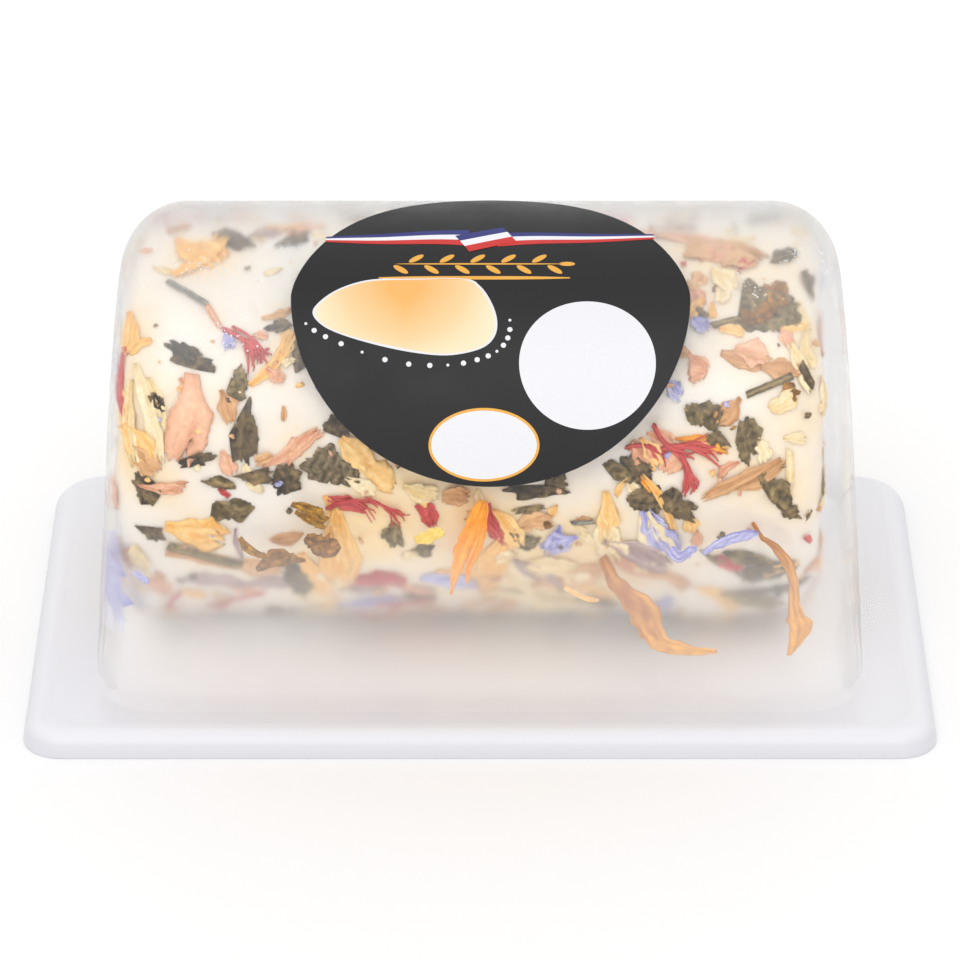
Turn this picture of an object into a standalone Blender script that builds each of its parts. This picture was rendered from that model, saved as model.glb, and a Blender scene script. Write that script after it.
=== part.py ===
"""A goat cheese log rolled in dried petals and herbs, in its shut retail pack.

A shallow tray stands on the table, a clear tunnel-shaped lid with a narrow
flange covers it, the log lies inside, and an egg-shaped label wraps over the
front and the top of the lid. Metres, +Z up; the log runs along X, the label
faces -Y, and the origin is under the middle of the tray.
"""

import math
import random

import bmesh
import bpy
from mathutils import Vector, noise

MM = 0.001

# The tray: a thin moulded sheet, open below, with a rounded shoulder all round
TRAY_LENGTH = 0.1048
TRAY_DEPTH = 0.065
TRAY_HEIGHT = 0.0028
TRAY_WALL = 0.0007
SHOULDER = 0.0025
FRONT_CORNER = 0.0045
BACK_CORNER = 0.0062

# The lid: a tunnel with drafted ends, rounded where the ends meet the arch
GAP = 0.0003
FLANGE_LENGTH = 0.0990
FLANGE_DEPTH = 0.0598
FLANGE_CORNER = 0.0036
LID_WALL = 0.0005
ARCH_RADIUS = 0.0245
ARCH_CENTRE = 0.0279
FOOT_HALF_DEPTH = 0.0268
FOOT_HALF_LENGTH = 0.0444
END_DRAFT = math.radians(3.7)
END_ROUND = 0.0078

# The label: an egg outline laid over the arch, measured along the lid's skin
LABEL_CENTRE = (0.0012, 0.0132)
LABEL_HALF_WIDTH = 0.0226
LABEL_UP = 0.0221
LABEL_DOWN = 0.0223
LABEL_SKIN = 0.0002

# The cheese: a soft log, a little taller than wide, flat where it rests
LOG_LEFT = -0.0415
LOG_RIGHT = 0.0390
LOG_Y = 0.0008
LOG_Z = 0.0269
LOG_HALF_WIDTH = 0.0222
LOG_HALF_HEIGHT = 0.0229
LOG_END_ROUND = 0.0042
LUMP = 0.0004
SAG = 0.0005
FLAKE_SHEET = 0.0005
FLAKE_SINK = 0.0007
FLAKE_ROOM = 0.0004
LID_SPARE = 0.0001
SCATTER_FROM = 208.0
SCATTER_OVER = 145.0
SCATTERED_KINDS = (
    ("leaf", 4.2, 3.2),
    ("leaf", 5.0, 2.6),
    ("petal", 7.5, 3.0),
    ("petal", 9.0, 2.0),
    ("thread", 8.0, 1.0),
)
SEED = 11

LID_BASE = TRAY_HEIGHT + GAP
PLATE_TOP = LID_BASE + LID_WALL


def clear_scene():
    for old in list(bpy.data.objects):
        bpy.data.objects.remove(old, do_unlink=True)


def material(name, colour, roughness, alpha=1.0):
    made = bpy.data.materials.new(name)
    made.use_nodes = True
    shader = made.node_tree.nodes["Principled BSDF"]
    shader.inputs["Base Color"].default_value = (*colour, 1.0)
    shader.inputs["Roughness"].default_value = roughness
    shader.inputs["Alpha"].default_value = alpha
    return made


def add_object(name, mesh_data, finish):
    mesh = bpy.data.meshes.new(name)
    mesh_data.to_mesh(mesh)
    mesh_data.free()
    made = bpy.data.objects.new(name, mesh)
    bpy.context.scene.collection.objects.link(made)
    mesh.materials.append(finish)
    return made


def smooth(made, degrees=35.0):
    made.data.shade_smooth()
    made.data.set_sharp_from_angle(angle=math.radians(degrees))


def rounded_rectangle(half_length, half_depth, front, back, steps=6):
    """Corner points, anticlockwise from above, with arcs of steps segments."""
    corners = (
        (1, -1, front, -90),
        (1, 1, back, 0),
        (-1, 1, back, 90),
        (-1, -1, front, 180),
    )
    points = []
    for side_x, side_y, radius, start in corners:
        for i in range(steps + 1):
            angle = math.radians(start + 90.0 * i / steps)
            x = side_x * (half_length - radius) + radius * math.cos(angle)
            y = side_y * (half_depth - radius) + radius * math.sin(angle)
            points.append((x, y))
    return points


def bridge(body, first, second):
    """Quads between two rings of as many points, facing out as the rings rise."""
    count = len(first)
    for i in range(count):
        after = (i + 1) % count
        body.faces.new((first[i], first[after], second[after], second[i]))


def tray_ring(body, inset, height, wall):
    inset = inset + wall
    outline = rounded_rectangle(
        TRAY_LENGTH / 2 - inset,
        TRAY_DEPTH / 2 - inset,
        max(FRONT_CORNER - inset, 0.0006),
        max(BACK_CORNER - inset, 0.0006),
    )
    return [body.verts.new((x, y, height)) for x, y in outline]


def make_tray(finish):
    """Outer skin from the rim to the top, then the inner skin back to the rim."""
    body = bmesh.new()
    steps = 5
    skins = []
    for wall in (0.0, TRAY_WALL):
        rings = [tray_ring(body, 0.0, 0.0, wall)]
        radius = SHOULDER - wall
        for i in range(steps + 1):
            angle = math.radians(90.0 * i / steps)
            height = TRAY_HEIGHT - wall - radius * (1.0 - math.sin(angle))
            rings.append(tray_ring(body, radius * (1.0 - math.cos(angle)), height, wall))
        skins.append(rings)
    outer, inner = skins
    for low, high in zip(outer, outer[1:]):
        bridge(body, low, high)
    for low, high in zip(inner, inner[1:]):
        bridge(body, high, low)
    bridge(body, inner[0], outer[0])
    body.faces.new(outer[-1])
    body.faces.new(list(reversed(inner[-1])))
    made = add_object("tray", body, finish)
    smooth(made)
    return made


def arch_section(inset, base):
    """The tunnel's outline across the log, from the front foot to the back foot."""
    radius = ARCH_RADIUS - inset
    foot = FOOT_HALF_DEPTH - inset
    rise = ARCH_CENTRE - PLATE_TOP
    reach = math.hypot(foot, rise)
    lean = math.acos(radius / reach) - math.atan2(rise, foot)
    segments = 26
    half = []
    for i in range(segments // 2 + 1):
        angle = lean + (math.pi / 2 - lean) * i / (segments // 2)
        half.append((radius * math.cos(angle), ARCH_CENTRE + radius * math.sin(angle)))
    first_y, first_z = half[0]
    slope = (foot - first_y) / (first_z - PLATE_TOP)
    legs = [(foot + slope * (PLATE_TOP - base), base)]
    legs.append(((foot + first_y) / 2, (PLATE_TOP + first_z) / 2))
    front = [(-y, z) for y, z in legs + half]
    back = [(y, z) for y, z in reversed(legs + half[:-1])]
    return front + back


def tunnel(name, wall, base, finish):
    """A closed tunnel body, whose end sections shrink along the end rounding."""
    body = bmesh.new()
    end = FOOT_HALF_LENGTH - wall
    round_off = END_ROUND - wall
    steps = 7
    stations = []
    for i in range(steps + 1):
        angle = math.radians(90.0 * i / steps)
        along = end - round_off * (1.0 - math.sin(angle))
        stations.append((along, wall + round_off * (1.0 - math.cos(angle))))
    stations = [(-along, inset) for along, inset in stations] + stations[::-1]
    stations.sort(key=lambda station: station[0])
    rings = []
    for along, inset in stations:
        ring = []
        for y, z in arch_section(inset, base):
            shrink = 1.0 - (z - PLATE_TOP) * math.tan(END_DRAFT) / FOOT_HALF_LENGTH
            ring.append(body.verts.new((along * shrink, y, z)))
        rings.append(ring)
    for left, right in zip(rings, rings[1:]):
        bridge(body, left, right)
    body.faces.new(list(reversed(rings[0])))
    body.faces.new(rings[-1])
    bmesh.ops.recalc_face_normals(body, faces=body.faces)
    return add_object(name, body, finish)


def use_boolean(target, tool, operation):
    change = target.modifiers.new(tool.name, "BOOLEAN")
    change.object = tool
    change.operation = operation
    change.solver = "EXACT"
    tool.hide_render = True
    tool.display_type = "WIRE"


def make_lid(finish):
    """The flange plate, with the tunnel's skin raised on it and its inside opened."""
    outline = rounded_rectangle(
        FLANGE_LENGTH / 2, FLANGE_DEPTH / 2, FLANGE_CORNER, FLANGE_CORNER
    )
    body = bmesh.new()
    low = [body.verts.new((x, y, LID_BASE)) for x, y in outline]
    high = [body.verts.new((x, y, PLATE_TOP)) for x, y in outline]
    bridge(body, low, high)
    body.faces.new(high)
    body.faces.new(list(reversed(low)))
    lid = add_object("lid", body, finish)
    skin = tunnel("lid_outside", 0.0, LID_BASE + LID_WALL / 2, finish)
    hollow = tunnel("lid_inside", LID_WALL, LID_BASE - 0.001, finish)
    use_boolean(lid, skin, "UNION")
    use_boolean(lid, hollow, "DIFFERENCE")
    smooth(lid)
    return lid


def on_arch(x, arc, lift):
    """A point over the lid, arc metres from its crest towards the front."""
    angle = arc / ARCH_RADIUS
    radius = ARCH_RADIUS + lift
    return (x, -radius * math.sin(angle), ARCH_CENTRE + radius * math.cos(angle))


def label_outline(angle):
    """The egg: blunt below, drawn to a soft point over the crest."""
    power = 2.0 if math.sin(angle) > 0 else 1.5
    down = LABEL_DOWN if math.sin(angle) > 0 else LABEL_UP
    side = math.copysign(abs(math.cos(angle)) ** (2.0 / power), math.cos(angle))
    along = math.copysign(abs(math.sin(angle)) ** (2.0 / power), math.sin(angle))
    return (LABEL_HALF_WIDTH * side, down * along)


def make_label(finish):
    """Rings of the egg outline from its middle outwards, on both faces."""
    spokes = 40
    rings = 5
    body = bmesh.new()
    faces = []
    for lift in (GAP, GAP + LABEL_SKIN):
        middle = body.verts.new(on_arch(*LABEL_CENTRE, lift))
        grid = []
        for ring in range(1, rings + 1):
            row = []
            for spoke in range(spokes):
                side, along = label_outline(math.tau * spoke / spokes)
                x = LABEL_CENTRE[0] + side * ring / rings
                arc = LABEL_CENTRE[1] + along * ring / rings
                row.append(body.verts.new(on_arch(x, arc, lift)))
            grid.append(row)
        for spoke in range(spokes):
            after = (spoke + 1) % spokes
            body.faces.new((middle, grid[0][spoke], grid[0][after]))
        for near, far in zip(grid, grid[1:]):
            bridge(body, near, far)
        faces.append(grid[-1])
    bridge(body, faces[0], faces[1])
    bmesh.ops.recalc_face_normals(body, faces=body.faces)
    made = add_object("label", body, finish)
    smooth(made)
    return made


def kept_inside(point, margin):
    """The point, moved in where it would come within margin of the lid or tray."""
    x, y, z = point
    z = max(z, TRAY_HEIGHT + margin)
    shrink = 1.0 - (z - PLATE_TOP) * math.tan(END_DRAFT) / FOOT_HALF_LENGTH
    round_off = END_ROUND - LID_WALL - margin
    straight = FOOT_HALF_LENGTH - END_ROUND
    middle = ARCH_RADIUS - END_ROUND
    drop = max(ARCH_CENTRE - z, 0.0) / (ARCH_CENTRE - PLATE_TOP)
    middle += (FOOT_HALF_DEPTH - ARCH_RADIUS) * drop
    out = abs(y) if z < ARCH_CENTRE else math.hypot(y, z - ARCH_CENTRE)
    past_x = max(abs(x) / shrink - straight, 0.0)
    past_out = max(out - middle, 0.0)
    reach = math.hypot(past_x, past_out)
    if reach > round_off:
        if past_x > 0.0:
            x = math.copysign((straight + past_x * round_off / reach) * shrink, x)
        wanted = middle + past_out * round_off / reach
        if past_out > 0.0 and z < ARCH_CENTRE:
            y = math.copysign(wanted, y)
        elif past_out > 0.0:
            y = y * wanted / out
            z = ARCH_CENTRE + (z - ARCH_CENTRE) * wanted / out
    return Vector((x, y, z))


def log_profile(along):
    """Place, inset and slope of the cheese's skin, along metres from its middle.

    The skin runs level, turns over the end rounding and then goes down the cut
    end towards the log's axis.
    """
    side = math.copysign(1.0, along)
    end = LOG_RIGHT if side > 0 else -LOG_LEFT
    straight = end - LOG_END_ROUND
    past = max(abs(along) - straight, 0.0)
    slope = min(past / LOG_END_ROUND, math.pi / 2)
    down = past - slope * LOG_END_ROUND
    place = min(abs(along), straight) + LOG_END_ROUND * math.sin(slope)
    inset = LOG_END_ROUND * (1.0 - math.cos(slope)) + down
    return side * place, inset, side * slope


def log_point(along, angle, lift=0.0):
    """A point on the cheese, angle measured from its top towards the front."""
    x, inset, slope = log_profile(along)
    spot = Vector((x * 90.0, math.sin(angle) * 2.2, math.cos(angle) * 2.2))
    lift = lift + LUMP * 2.0 * noise.noise(spot)
    x = x + lift * math.sin(slope)
    low = max(-math.cos(angle) - 0.75, 0.0) / 0.25
    grow = lift * math.cos(slope) - inset + SAG * low
    y = LOG_Y - (LOG_HALF_WIDTH + grow) * math.sin(angle)
    z = LOG_Z + (LOG_HALF_HEIGHT + grow) * math.cos(angle)
    return Vector((x, y, z))


def make_core(finish):
    """The bare cheese: rings along X, close together where the ends turn."""
    around = 36
    middle = 13
    body = bmesh.new()
    turn = LOG_END_ROUND * math.pi / 2
    left = LOG_LEFT + LOG_END_ROUND
    right = LOG_RIGHT - LOG_END_ROUND
    steps = [left - turn - 0.009, left - turn]
    steps += [left - turn * share for share in (0.75, 0.5, 0.25)]
    steps += [left + (right - left) * i / middle for i in range(middle + 1)]
    steps += [right + turn * share for share in (0.25, 0.5, 0.75, 1.0)]
    steps.append(right + turn + 0.009)
    rings = []
    for along in steps:
        spots = (log_point(along, math.tau * i / around) for i in range(around))
        kept = (kept_inside(spot, GAP + LID_SPARE + FLAKE_ROOM) for spot in spots)
        rings.append([body.verts.new(spot) for spot in kept])
    for near, far in zip(rings, rings[1:]):
        bridge(body, near, far)
    for ring in (rings[0], rings[-1]):
        tip = body.verts.new(sum((v.co for v in ring), Vector()) / around)
        for i in range(around):
            body.faces.new((ring[i], ring[(i + 1) % around], tip))
    bmesh.ops.recalc_face_normals(body, faces=body.faces)
    made = add_object("cheese_log", body, finish)
    smooth(made, 60.0)
    return made


def flake_width(kind, u, dice):
    """Half width of a flake along its length, u from -1 to 1, as a share of one."""
    if kind == "leaf":
        return (1.0 - abs(u) ** 2.4) ** 0.5 * dice.uniform(0.72, 1.1) + 0.12
    if kind == "petal":
        return (0.45 + 0.4 * u - 0.2 * u * u) * (1.0 - abs(u) ** 5) + 0.2
    return 0.8 + 0.2 * (1.0 - abs(u))


def make_flake(kind, along, turn, length, width, heading, dice):
    """A thin wavy solid whose underside is sunk in the cheese.

    along is metres along the skin from the log's middle, turn is degrees from
    the top towards the front, and heading is degrees from the log's length.
    """
    rows = {"leaf": 3, "petal": 4, "thread": 4}[kind]
    columns = 1 if kind == "thread" else 2
    rise = dice.uniform(0.00035, 0.0006)
    wave = dice.uniform(0.0, math.tau)
    bend = dice.uniform(-0.2, 0.2) * length * (0.3 if kind == "leaf" else 1.0)
    aim = math.radians(heading)
    inset = log_profile(along)[1]
    radius = max(LOG_HALF_WIDTH - inset, 0.005)
    body = bmesh.new()
    high = []
    low = []
    for row in range(rows + 1):
        u = 2.0 * row / rows - 1.0
        half = width / 2 * flake_width(kind, u, dice)
        high_line = []
        low_line = []
        for column in range(columns + 1):
            v = 2.0 * column / columns - 1.0
            ahead = u * length / 2
            aside = v * half + bend * (1.0 - u * u)
            s = along + ahead * math.cos(aim) - aside * math.sin(aim)
            arc = ahead * math.sin(aim) + aside * math.cos(aim)
            angle = math.radians(turn) + arc / radius
            top = rise * (1.0 + 0.4 * math.sin(wave + 2.2 * u + 1.3 * v))
            spot = kept_inside(log_point(s, angle, top), GAP + LID_SPARE)
            below = log_point(s, angle, -FLAKE_SINK)
            below = kept_inside(below, GAP + LID_SPARE + FLAKE_ROOM + FLAKE_SINK)
            high_line.append(body.verts.new(spot))
            low_line.append(body.verts.new(below))
        high.append(high_line)
        low.append(low_line)
    cover_strip(body, (low, high))
    return body


def rim_of(grid):
    """The outer points of a grid, in order round it."""
    first = grid[0]
    last = grid[-1]
    right = [row[-1] for row in grid[1:-1]]
    left = [row[0] for row in grid[1:-1]]
    return first + right + last[::-1] + left[::-1]


# The flakes that show most, placed by hand: kind, millimetres along the skin
# from the log's middle, degrees round it from the top towards the front, then
# length, width and heading, in millimetres and in degrees from the log's length
SHOWN_FLAKES = (
    ("leaf", -28.5, 3, 6.0, 3.2, 30),
    ("petal", -32.0, 10, 9.5, 2.4, -50),
    ("leaf", -21.5, 3, 4.5, 2.6, -50),
    ("thread", -33.0, 27, 6.0, 0.9, 36),
    ("thread", -27.0, 44, 7.0, 1.0, 46),
    ("leaf", -32.5, 47, 5.6, 2.4, 32),
    ("petal", -40.0, 38, 5.5, 2.0, 90),
    ("petal", -37.5, 63, 12.0, 1.6, 75),
    ("petal", -33.5, 64, 10.0, 4.2, 100),
    ("leaf", -27.5, 56, 4.0, 2.6, 103),
    ("leaf", -27.0, 69, 6.7, 3.2, 92),
    ("leaf", -32.0, 76, 3.8, 1.8, -20),
    ("leaf", -38.0, 85, 4.2, 1.6, 70),
    ("petal", -37.5, 76, 4.0, 2.3, 40),
    ("petal", -23.5, 47, 8.0, 1.4, -50),
    ("leaf", -20.5, 47, 4.3, 2.0, 73),
    ("petal", -19.8, 72, 5.6, 1.5, -46),
    ("leaf", -17.0, 79, 5.6, 4.7, 30),
    ("leaf", -22.5, 82, 5.0, 3.2, 30),
    ("leaf", -28.5, 91, 5.2, 3.0, 12),
    ("leaf", -19.0, 90, 4.2, 2.0, 22),
    ("leaf", -17.5, 101, 3.9, 2.2, 22),
    ("leaf", -23.0, 108, 5.0, 1.8, -20),
    ("petal", -15.0, 89, 4.8, 1.7, 18),
    ("petal", -16.2, 107, 9.0, 2.6, 91),
    ("petal", -32.3, 98, 7.0, 2.8, 9),
    ("petal", -41.5, 114, 8.0, 1.6, 89),
    ("petal", -5.9, 92, 3.4, 1.7, 74),
    ("leaf", -9.7, 99, 3.8, 2.2, 87),
    ("petal", -1.3, 100, 10.0, 2.0, 103),
    ("petal", 27.8, 8, 10.3, 3.2, 26),
    ("leaf", 35.0, 11, 4.0, 2.4, -38),
    ("leaf", 32.0, 31, 7.6, 5.6, 27),
    ("petal", 25.1, 36, 3.4, 1.7, 45),
    ("petal", 31.7, 49, 8.9, 2.6, 9),
    ("thread", 32.7, 55, 5.5, 1.0, -22),
    ("leaf", 25.1, 64, 5.2, 2.8, 22),
    ("leaf", 30.0, 70, 5.7, 3.0, 80),
    ("thread", 20.8, 79, 10.5, 0.9, 36),
    ("thread", 23.5, 72, 7.5, 0.9, 10),
    ("leaf", 17.2, 78, 3.2, 2.3, 4),
    ("leaf", 22.3, 89, 5.4, 3.0, 44),
    ("petal", 29.4, 82, 10.5, 1.5, 153),
    ("petal", 19.6, 90, 9.0, 1.0, 60),
    ("leaf", 33.5, 86, 4.6, 2.6, 46),
    ("leaf", 6.8, 85, 6.0, 2.0, 2),
    ("petal", 20.3, 99, 6.4, 2.8, 60),
    ("petal", 27.8, 100, 7.5, 1.4, -27),
    ("petal", 16.9, 107, 8.5, 3.5, 44),
    ("leaf", 33.5, 113, 8.0, 2.6, -30),
    ("petal", 6.8, 114, 7.0, 1.3, 42),
    ("petal", 12.2, 117, 6.0, 3.2, 45),
)

# Two long petals leave the cheese and hang down the lid's front wall: points
# of their middle line in millimetres, X and Z, and the width there
HANGING_PETALS = (
    ((12.8, 21.5, 1.6), (15.6, 18.0, 2.6), (19.6, 14.2, 2.8), (21.4, 11.0, 2.4), (26.4, 10.0, 0.8)),
    ((31.2, 26.0, 0.8), (34.3, 23.6, 1.4), (36.0, 19.6, 1.8), (36.6, 15.2, 2.6), (36.0, 10.4, 1.2)),
)


def make_hanging_petal(points):
    """A thin strip from inside the cheese's front out to the lid and down it."""
    body = bmesh.new()
    grids = []
    last = len(points) - 1
    for side in (0.0, FLAKE_SHEET):
        grid = []
        for number, (x, z, width) in enumerate(points):
            before = points[max(number - 1, 0)]
            after = points[min(number + 1, last)]
            run = Vector((after[0] - before[0], after[1] - before[1])).normalized()
            depth = -FOOT_HALF_DEPTH if number else LOG_Y - LOG_HALF_WIDTH + FLAKE_SINK
            line = []
            for edge in (-0.5, 0.0, 0.5):
                spot = Vector((x - run.y * width * edge, 0.0, z + run.x * width * edge)) * MM
                spot.y = depth + abs(edge) * FLAKE_SHEET
                spot = kept_inside(spot, GAP + LID_SPARE)
                line.append(body.verts.new(spot + Vector((0.0, side, 0.0))))
            grid.append(line)
        grids.append(grid)
    cover_strip(body, grids)
    return body


def cover_strip(body, grids):
    """Closes two matching grids of points into one thin solid."""
    for grid in grids:
        for near, far in zip(grid, grid[1:]):
            for column in range(len(near) - 1):
                body.faces.new((near[column], near[column + 1], far[column + 1]))
                body.faces.new((near[column], far[column + 1], far[column]))
    bridge(body, rim_of(grids[0]), rim_of(grids[1]))
    bmesh.ops.recalc_face_normals(body, faces=body.faces)


def scattered_flakes(dice):
    """Smaller flakes on the sides that the list leaves bare, by rows with a seeded shift."""
    bands = 6
    along = 7
    for band in range(bands):
        for place in range(along):
            share = (place + 0.5 + dice.uniform(-0.4, 0.4)) / along
            at = (LOG_LEFT + (LOG_RIGHT - LOG_LEFT) * share) / MM
            turn = SCATTER_FROM + SCATTER_OVER * (band + 0.5 + dice.uniform(-0.4, 0.4)) / bands
            kind, length, width = dice.choice(SCATTERED_KINDS)
            grow = dice.uniform(0.8, 1.3)
            heading = dice.uniform(0.0, 180.0)
            yield kind, at, turn, length * grow, width * grow, heading


def keep_outer_body(made):
    """Fills pockets that the union closed off, and drops scraps that touch nothing."""
    body = bmesh.new()
    body.from_mesh(made.data)
    waiting = set(body.faces)
    shells = []
    while waiting:
        front = [waiting.pop()]
        shell = list(front)
        while front:
            for edge in front.pop().edges:
                for face in edge.link_faces:
                    if face in waiting:
                        waiting.discard(face)
                        shell.append(face)
                        front.append(face)
        shells.append(shell)
    shells.sort(key=len)
    for shell in shells[:-1]:
        bmesh.ops.delete(body, geom=shell, context="FACES")
    body.to_mesh(made.data)
    body.free()


def make_log(finish):
    """The cheese with its flakes joined on by one union."""
    dice = random.Random(SEED)
    core = make_core(finish)
    herbs = bpy.data.collections.new("herbs")
    bpy.context.scene.collection.children.link(herbs)
    bodies = [make_hanging_petal(points) for points in HANGING_PETALS]
    for row in list(SHOWN_FLAKES) + list(scattered_flakes(dice)):
        kind, along, turn, length, width, heading = row
        bodies.append(
            make_flake(kind, along * MM, turn, length * MM, width * MM, heading, dice)
        )
    for number, body in enumerate(bodies):
        flake = add_object(f"flake_{number:03d}", body, finish)
        bpy.context.scene.collection.objects.unlink(flake)
        herbs.objects.link(flake)
    join = core.modifiers.new("herbs", "BOOLEAN")
    join.operation = "UNION"
    join.operand_type = "COLLECTION"
    join.collection = herbs
    join.solver = "MANIFOLD"
    view = bpy.context.view_layer
    view.objects.active = core
    core.select_set(True)
    bpy.ops.object.modifier_apply(modifier=join.name)
    for flake in list(herbs.objects):
        bpy.data.objects.remove(flake, do_unlink=True)
    bpy.data.collections.remove(herbs)
    keep_outer_body(core)
    return core


def main():
    clear_scene()
    milky = material("tray_plastic", (0.78, 0.77, 0.83), 0.35)
    clear = material("clear_plastic", (0.92, 0.92, 0.92), 0.08, alpha=0.25)
    cheese = material("cheese", (0.94, 0.88, 0.74), 0.6)
    print_black = material("label_film", (0.035, 0.035, 0.037), 0.35)
    make_tray(milky)
    make_lid(clear)
    make_label(print_black)
    make_log(cheese)


main()
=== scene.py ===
"""The looks of a goat cheese log in its shut pack: tray, clear lid, label, petals."""

import math
import random
from functools import partial

import bmesh
import bpy
import numpy as np
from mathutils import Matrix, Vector, noise


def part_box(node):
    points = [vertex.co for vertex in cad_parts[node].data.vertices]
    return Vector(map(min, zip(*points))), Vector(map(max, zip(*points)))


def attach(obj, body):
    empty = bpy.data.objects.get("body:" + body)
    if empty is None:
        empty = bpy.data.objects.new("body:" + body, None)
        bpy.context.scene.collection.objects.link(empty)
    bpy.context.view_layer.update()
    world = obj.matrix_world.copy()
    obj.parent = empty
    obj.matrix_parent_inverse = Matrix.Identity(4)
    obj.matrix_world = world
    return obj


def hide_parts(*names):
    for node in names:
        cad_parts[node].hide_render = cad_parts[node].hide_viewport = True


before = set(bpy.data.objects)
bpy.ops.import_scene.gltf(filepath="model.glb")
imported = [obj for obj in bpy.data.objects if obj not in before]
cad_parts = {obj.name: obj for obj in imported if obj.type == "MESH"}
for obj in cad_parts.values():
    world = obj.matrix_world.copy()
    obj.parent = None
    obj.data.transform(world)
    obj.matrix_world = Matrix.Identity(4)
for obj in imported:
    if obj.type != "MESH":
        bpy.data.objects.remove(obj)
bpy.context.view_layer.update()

MM = 0.001

# What the frame gives
TRAY_HALF_LENGTH, TRAY_HALF_DEPTH, TRAY_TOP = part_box("tray")[1]
lid_low, lid_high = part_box("lid")
FLANGE_HALF_LENGTH, FLANGE_HALF_DEPTH, LID_TOP = lid_high
LID_BASE = lid_low.z

# The tray
TRAY_WALL = 0.7 * MM
SHOULDER = 2.5 * MM
FRONT_CORNER = 4.5 * MM
BACK_CORNER = 6.2 * MM

# The lid
LID_WALL = 0.5 * MM
FLANGE_CORNER = 3.6 * MM
ARCH_RADIUS = 24.5 * MM
ARCH_CENTRE = LID_TOP - ARCH_RADIUS
FOOT_HALF_DEPTH = 26.8 * MM
FOOT_HALF_LENGTH = 44.4 * MM
FOOT_FLARE = 0.7 * MM
END_DRAFT = math.radians(3.7)
END_ROUND = 7.8 * MM
PLATE_TOP = LID_BASE + LID_WALL
CORNER_STEPS = 14
EDGE_POINTS = 20

# The lid's roughness where clear and where damp, how much of it is white there, and the extra white painted
# in as light over the shade under the cheese's left end
HAZE_HIGH = 0.14
HAZE_LOW = 0.27
FOG = 0.11
PAINTED_LIGHT_VEIL = 0.10

# The label
LABEL_CENTRE = (1.2 * MM, 13.2 * MM)
LABEL_HALF_WIDTH = 22.6 * MM
LABEL_UP = 22.1 * MM
LABEL_DOWN = 22.3 * MM
LAYER = 0.03 * MM

# The cheese
LOG_LEFT = -41.5 * MM
LOG_RIGHT = 39.0 * MM
LOG_Y = 0.8 * MM
LOG_Z = 26.9 * MM
LOG_HALF_WIDTH = 22.2 * MM
LOG_HALF_HEIGHT = 22.9 * MM
LOG_END_ROUND = 4.2 * MM
LUMP = 0.4 * MM
END_CALM = 14.0 * MM
SAG = 0.5 * MM
ROOM = 0.55 * MM
CLEAR = 0.12 * MM
LOWEST = 0.03

SEED = 5


def put(name, data):
    made = bpy.data.objects.new(name, data)
    bpy.context.scene.collection.objects.link(made)
    return made


def add_camera():
    """The photo's camera: far off, about 28 degrees up, in line with the pack."""
    elevation = math.radians(28.2)
    distance, aim = 0.650, Vector((0.0, 0.0, 18.67 * MM))
    lens = bpy.data.cameras.new("camera")
    lens.sensor_width = 36.0
    lens.lens = 207.0
    lens.clip_start = 0.05
    lens.clip_end = 20.0
    camera = put("camera", lens)
    camera.location = aim + Vector((0.0, -math.cos(elevation), math.sin(elevation))) * distance
    camera.rotation_euler = (math.pi / 2 - elevation, 0.0, 0.0)
    bpy.context.scene.camera = camera


def add_sun(name, azimuth, elevation, spread, strength):
    """A soft distant light: azimuth in degrees from the front towards the right."""
    lamp = bpy.data.lights.new(name, "SUN")
    lamp.energy = strength
    lamp.angle = math.radians(spread)
    made = put(name, lamp)
    turn, rise = math.radians(azimuth), math.radians(elevation)
    towards = Vector((math.sin(turn) * math.cos(rise), -math.cos(turn) * math.cos(rise), math.sin(rise)))
    made.location = towards
    made.rotation_euler = towards.to_track_quat("Z", "Y").to_euler()


def add_studio():
    """A white sweep of soft light from all round, and a near-white table."""
    world = bpy.data.worlds.new("studio")
    bpy.context.scene.world = world
    world.use_nodes = True
    ground = world.node_tree.nodes["Background"]
    ground.inputs["Color"].default_value = (1.0, 1.0, 1.0, 1.0)
    ground.inputs["Strength"].default_value = 0.9
    add_sun("key", -10.0, 52.0, 50.0, 0.68)
    add_sun("front", 8.0, 12.0, 40.0, 0.16)
    bpy.context.scene.view_settings.view_transform = "Standard"
    body = bmesh.new()
    side = 1.5
    corners = [(-side, -side), (side, -side), (side, side), (-side, side)]
    body.faces.new([body.verts.new((x, y, 0.0)) for x, y in corners])
    white = Finish("table_white", (0.97, 0.97, 0.972), 0.6)
    floor = piece_from_bmesh("floor", body, white)
    floor.location.z = -0.05 * MM


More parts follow.
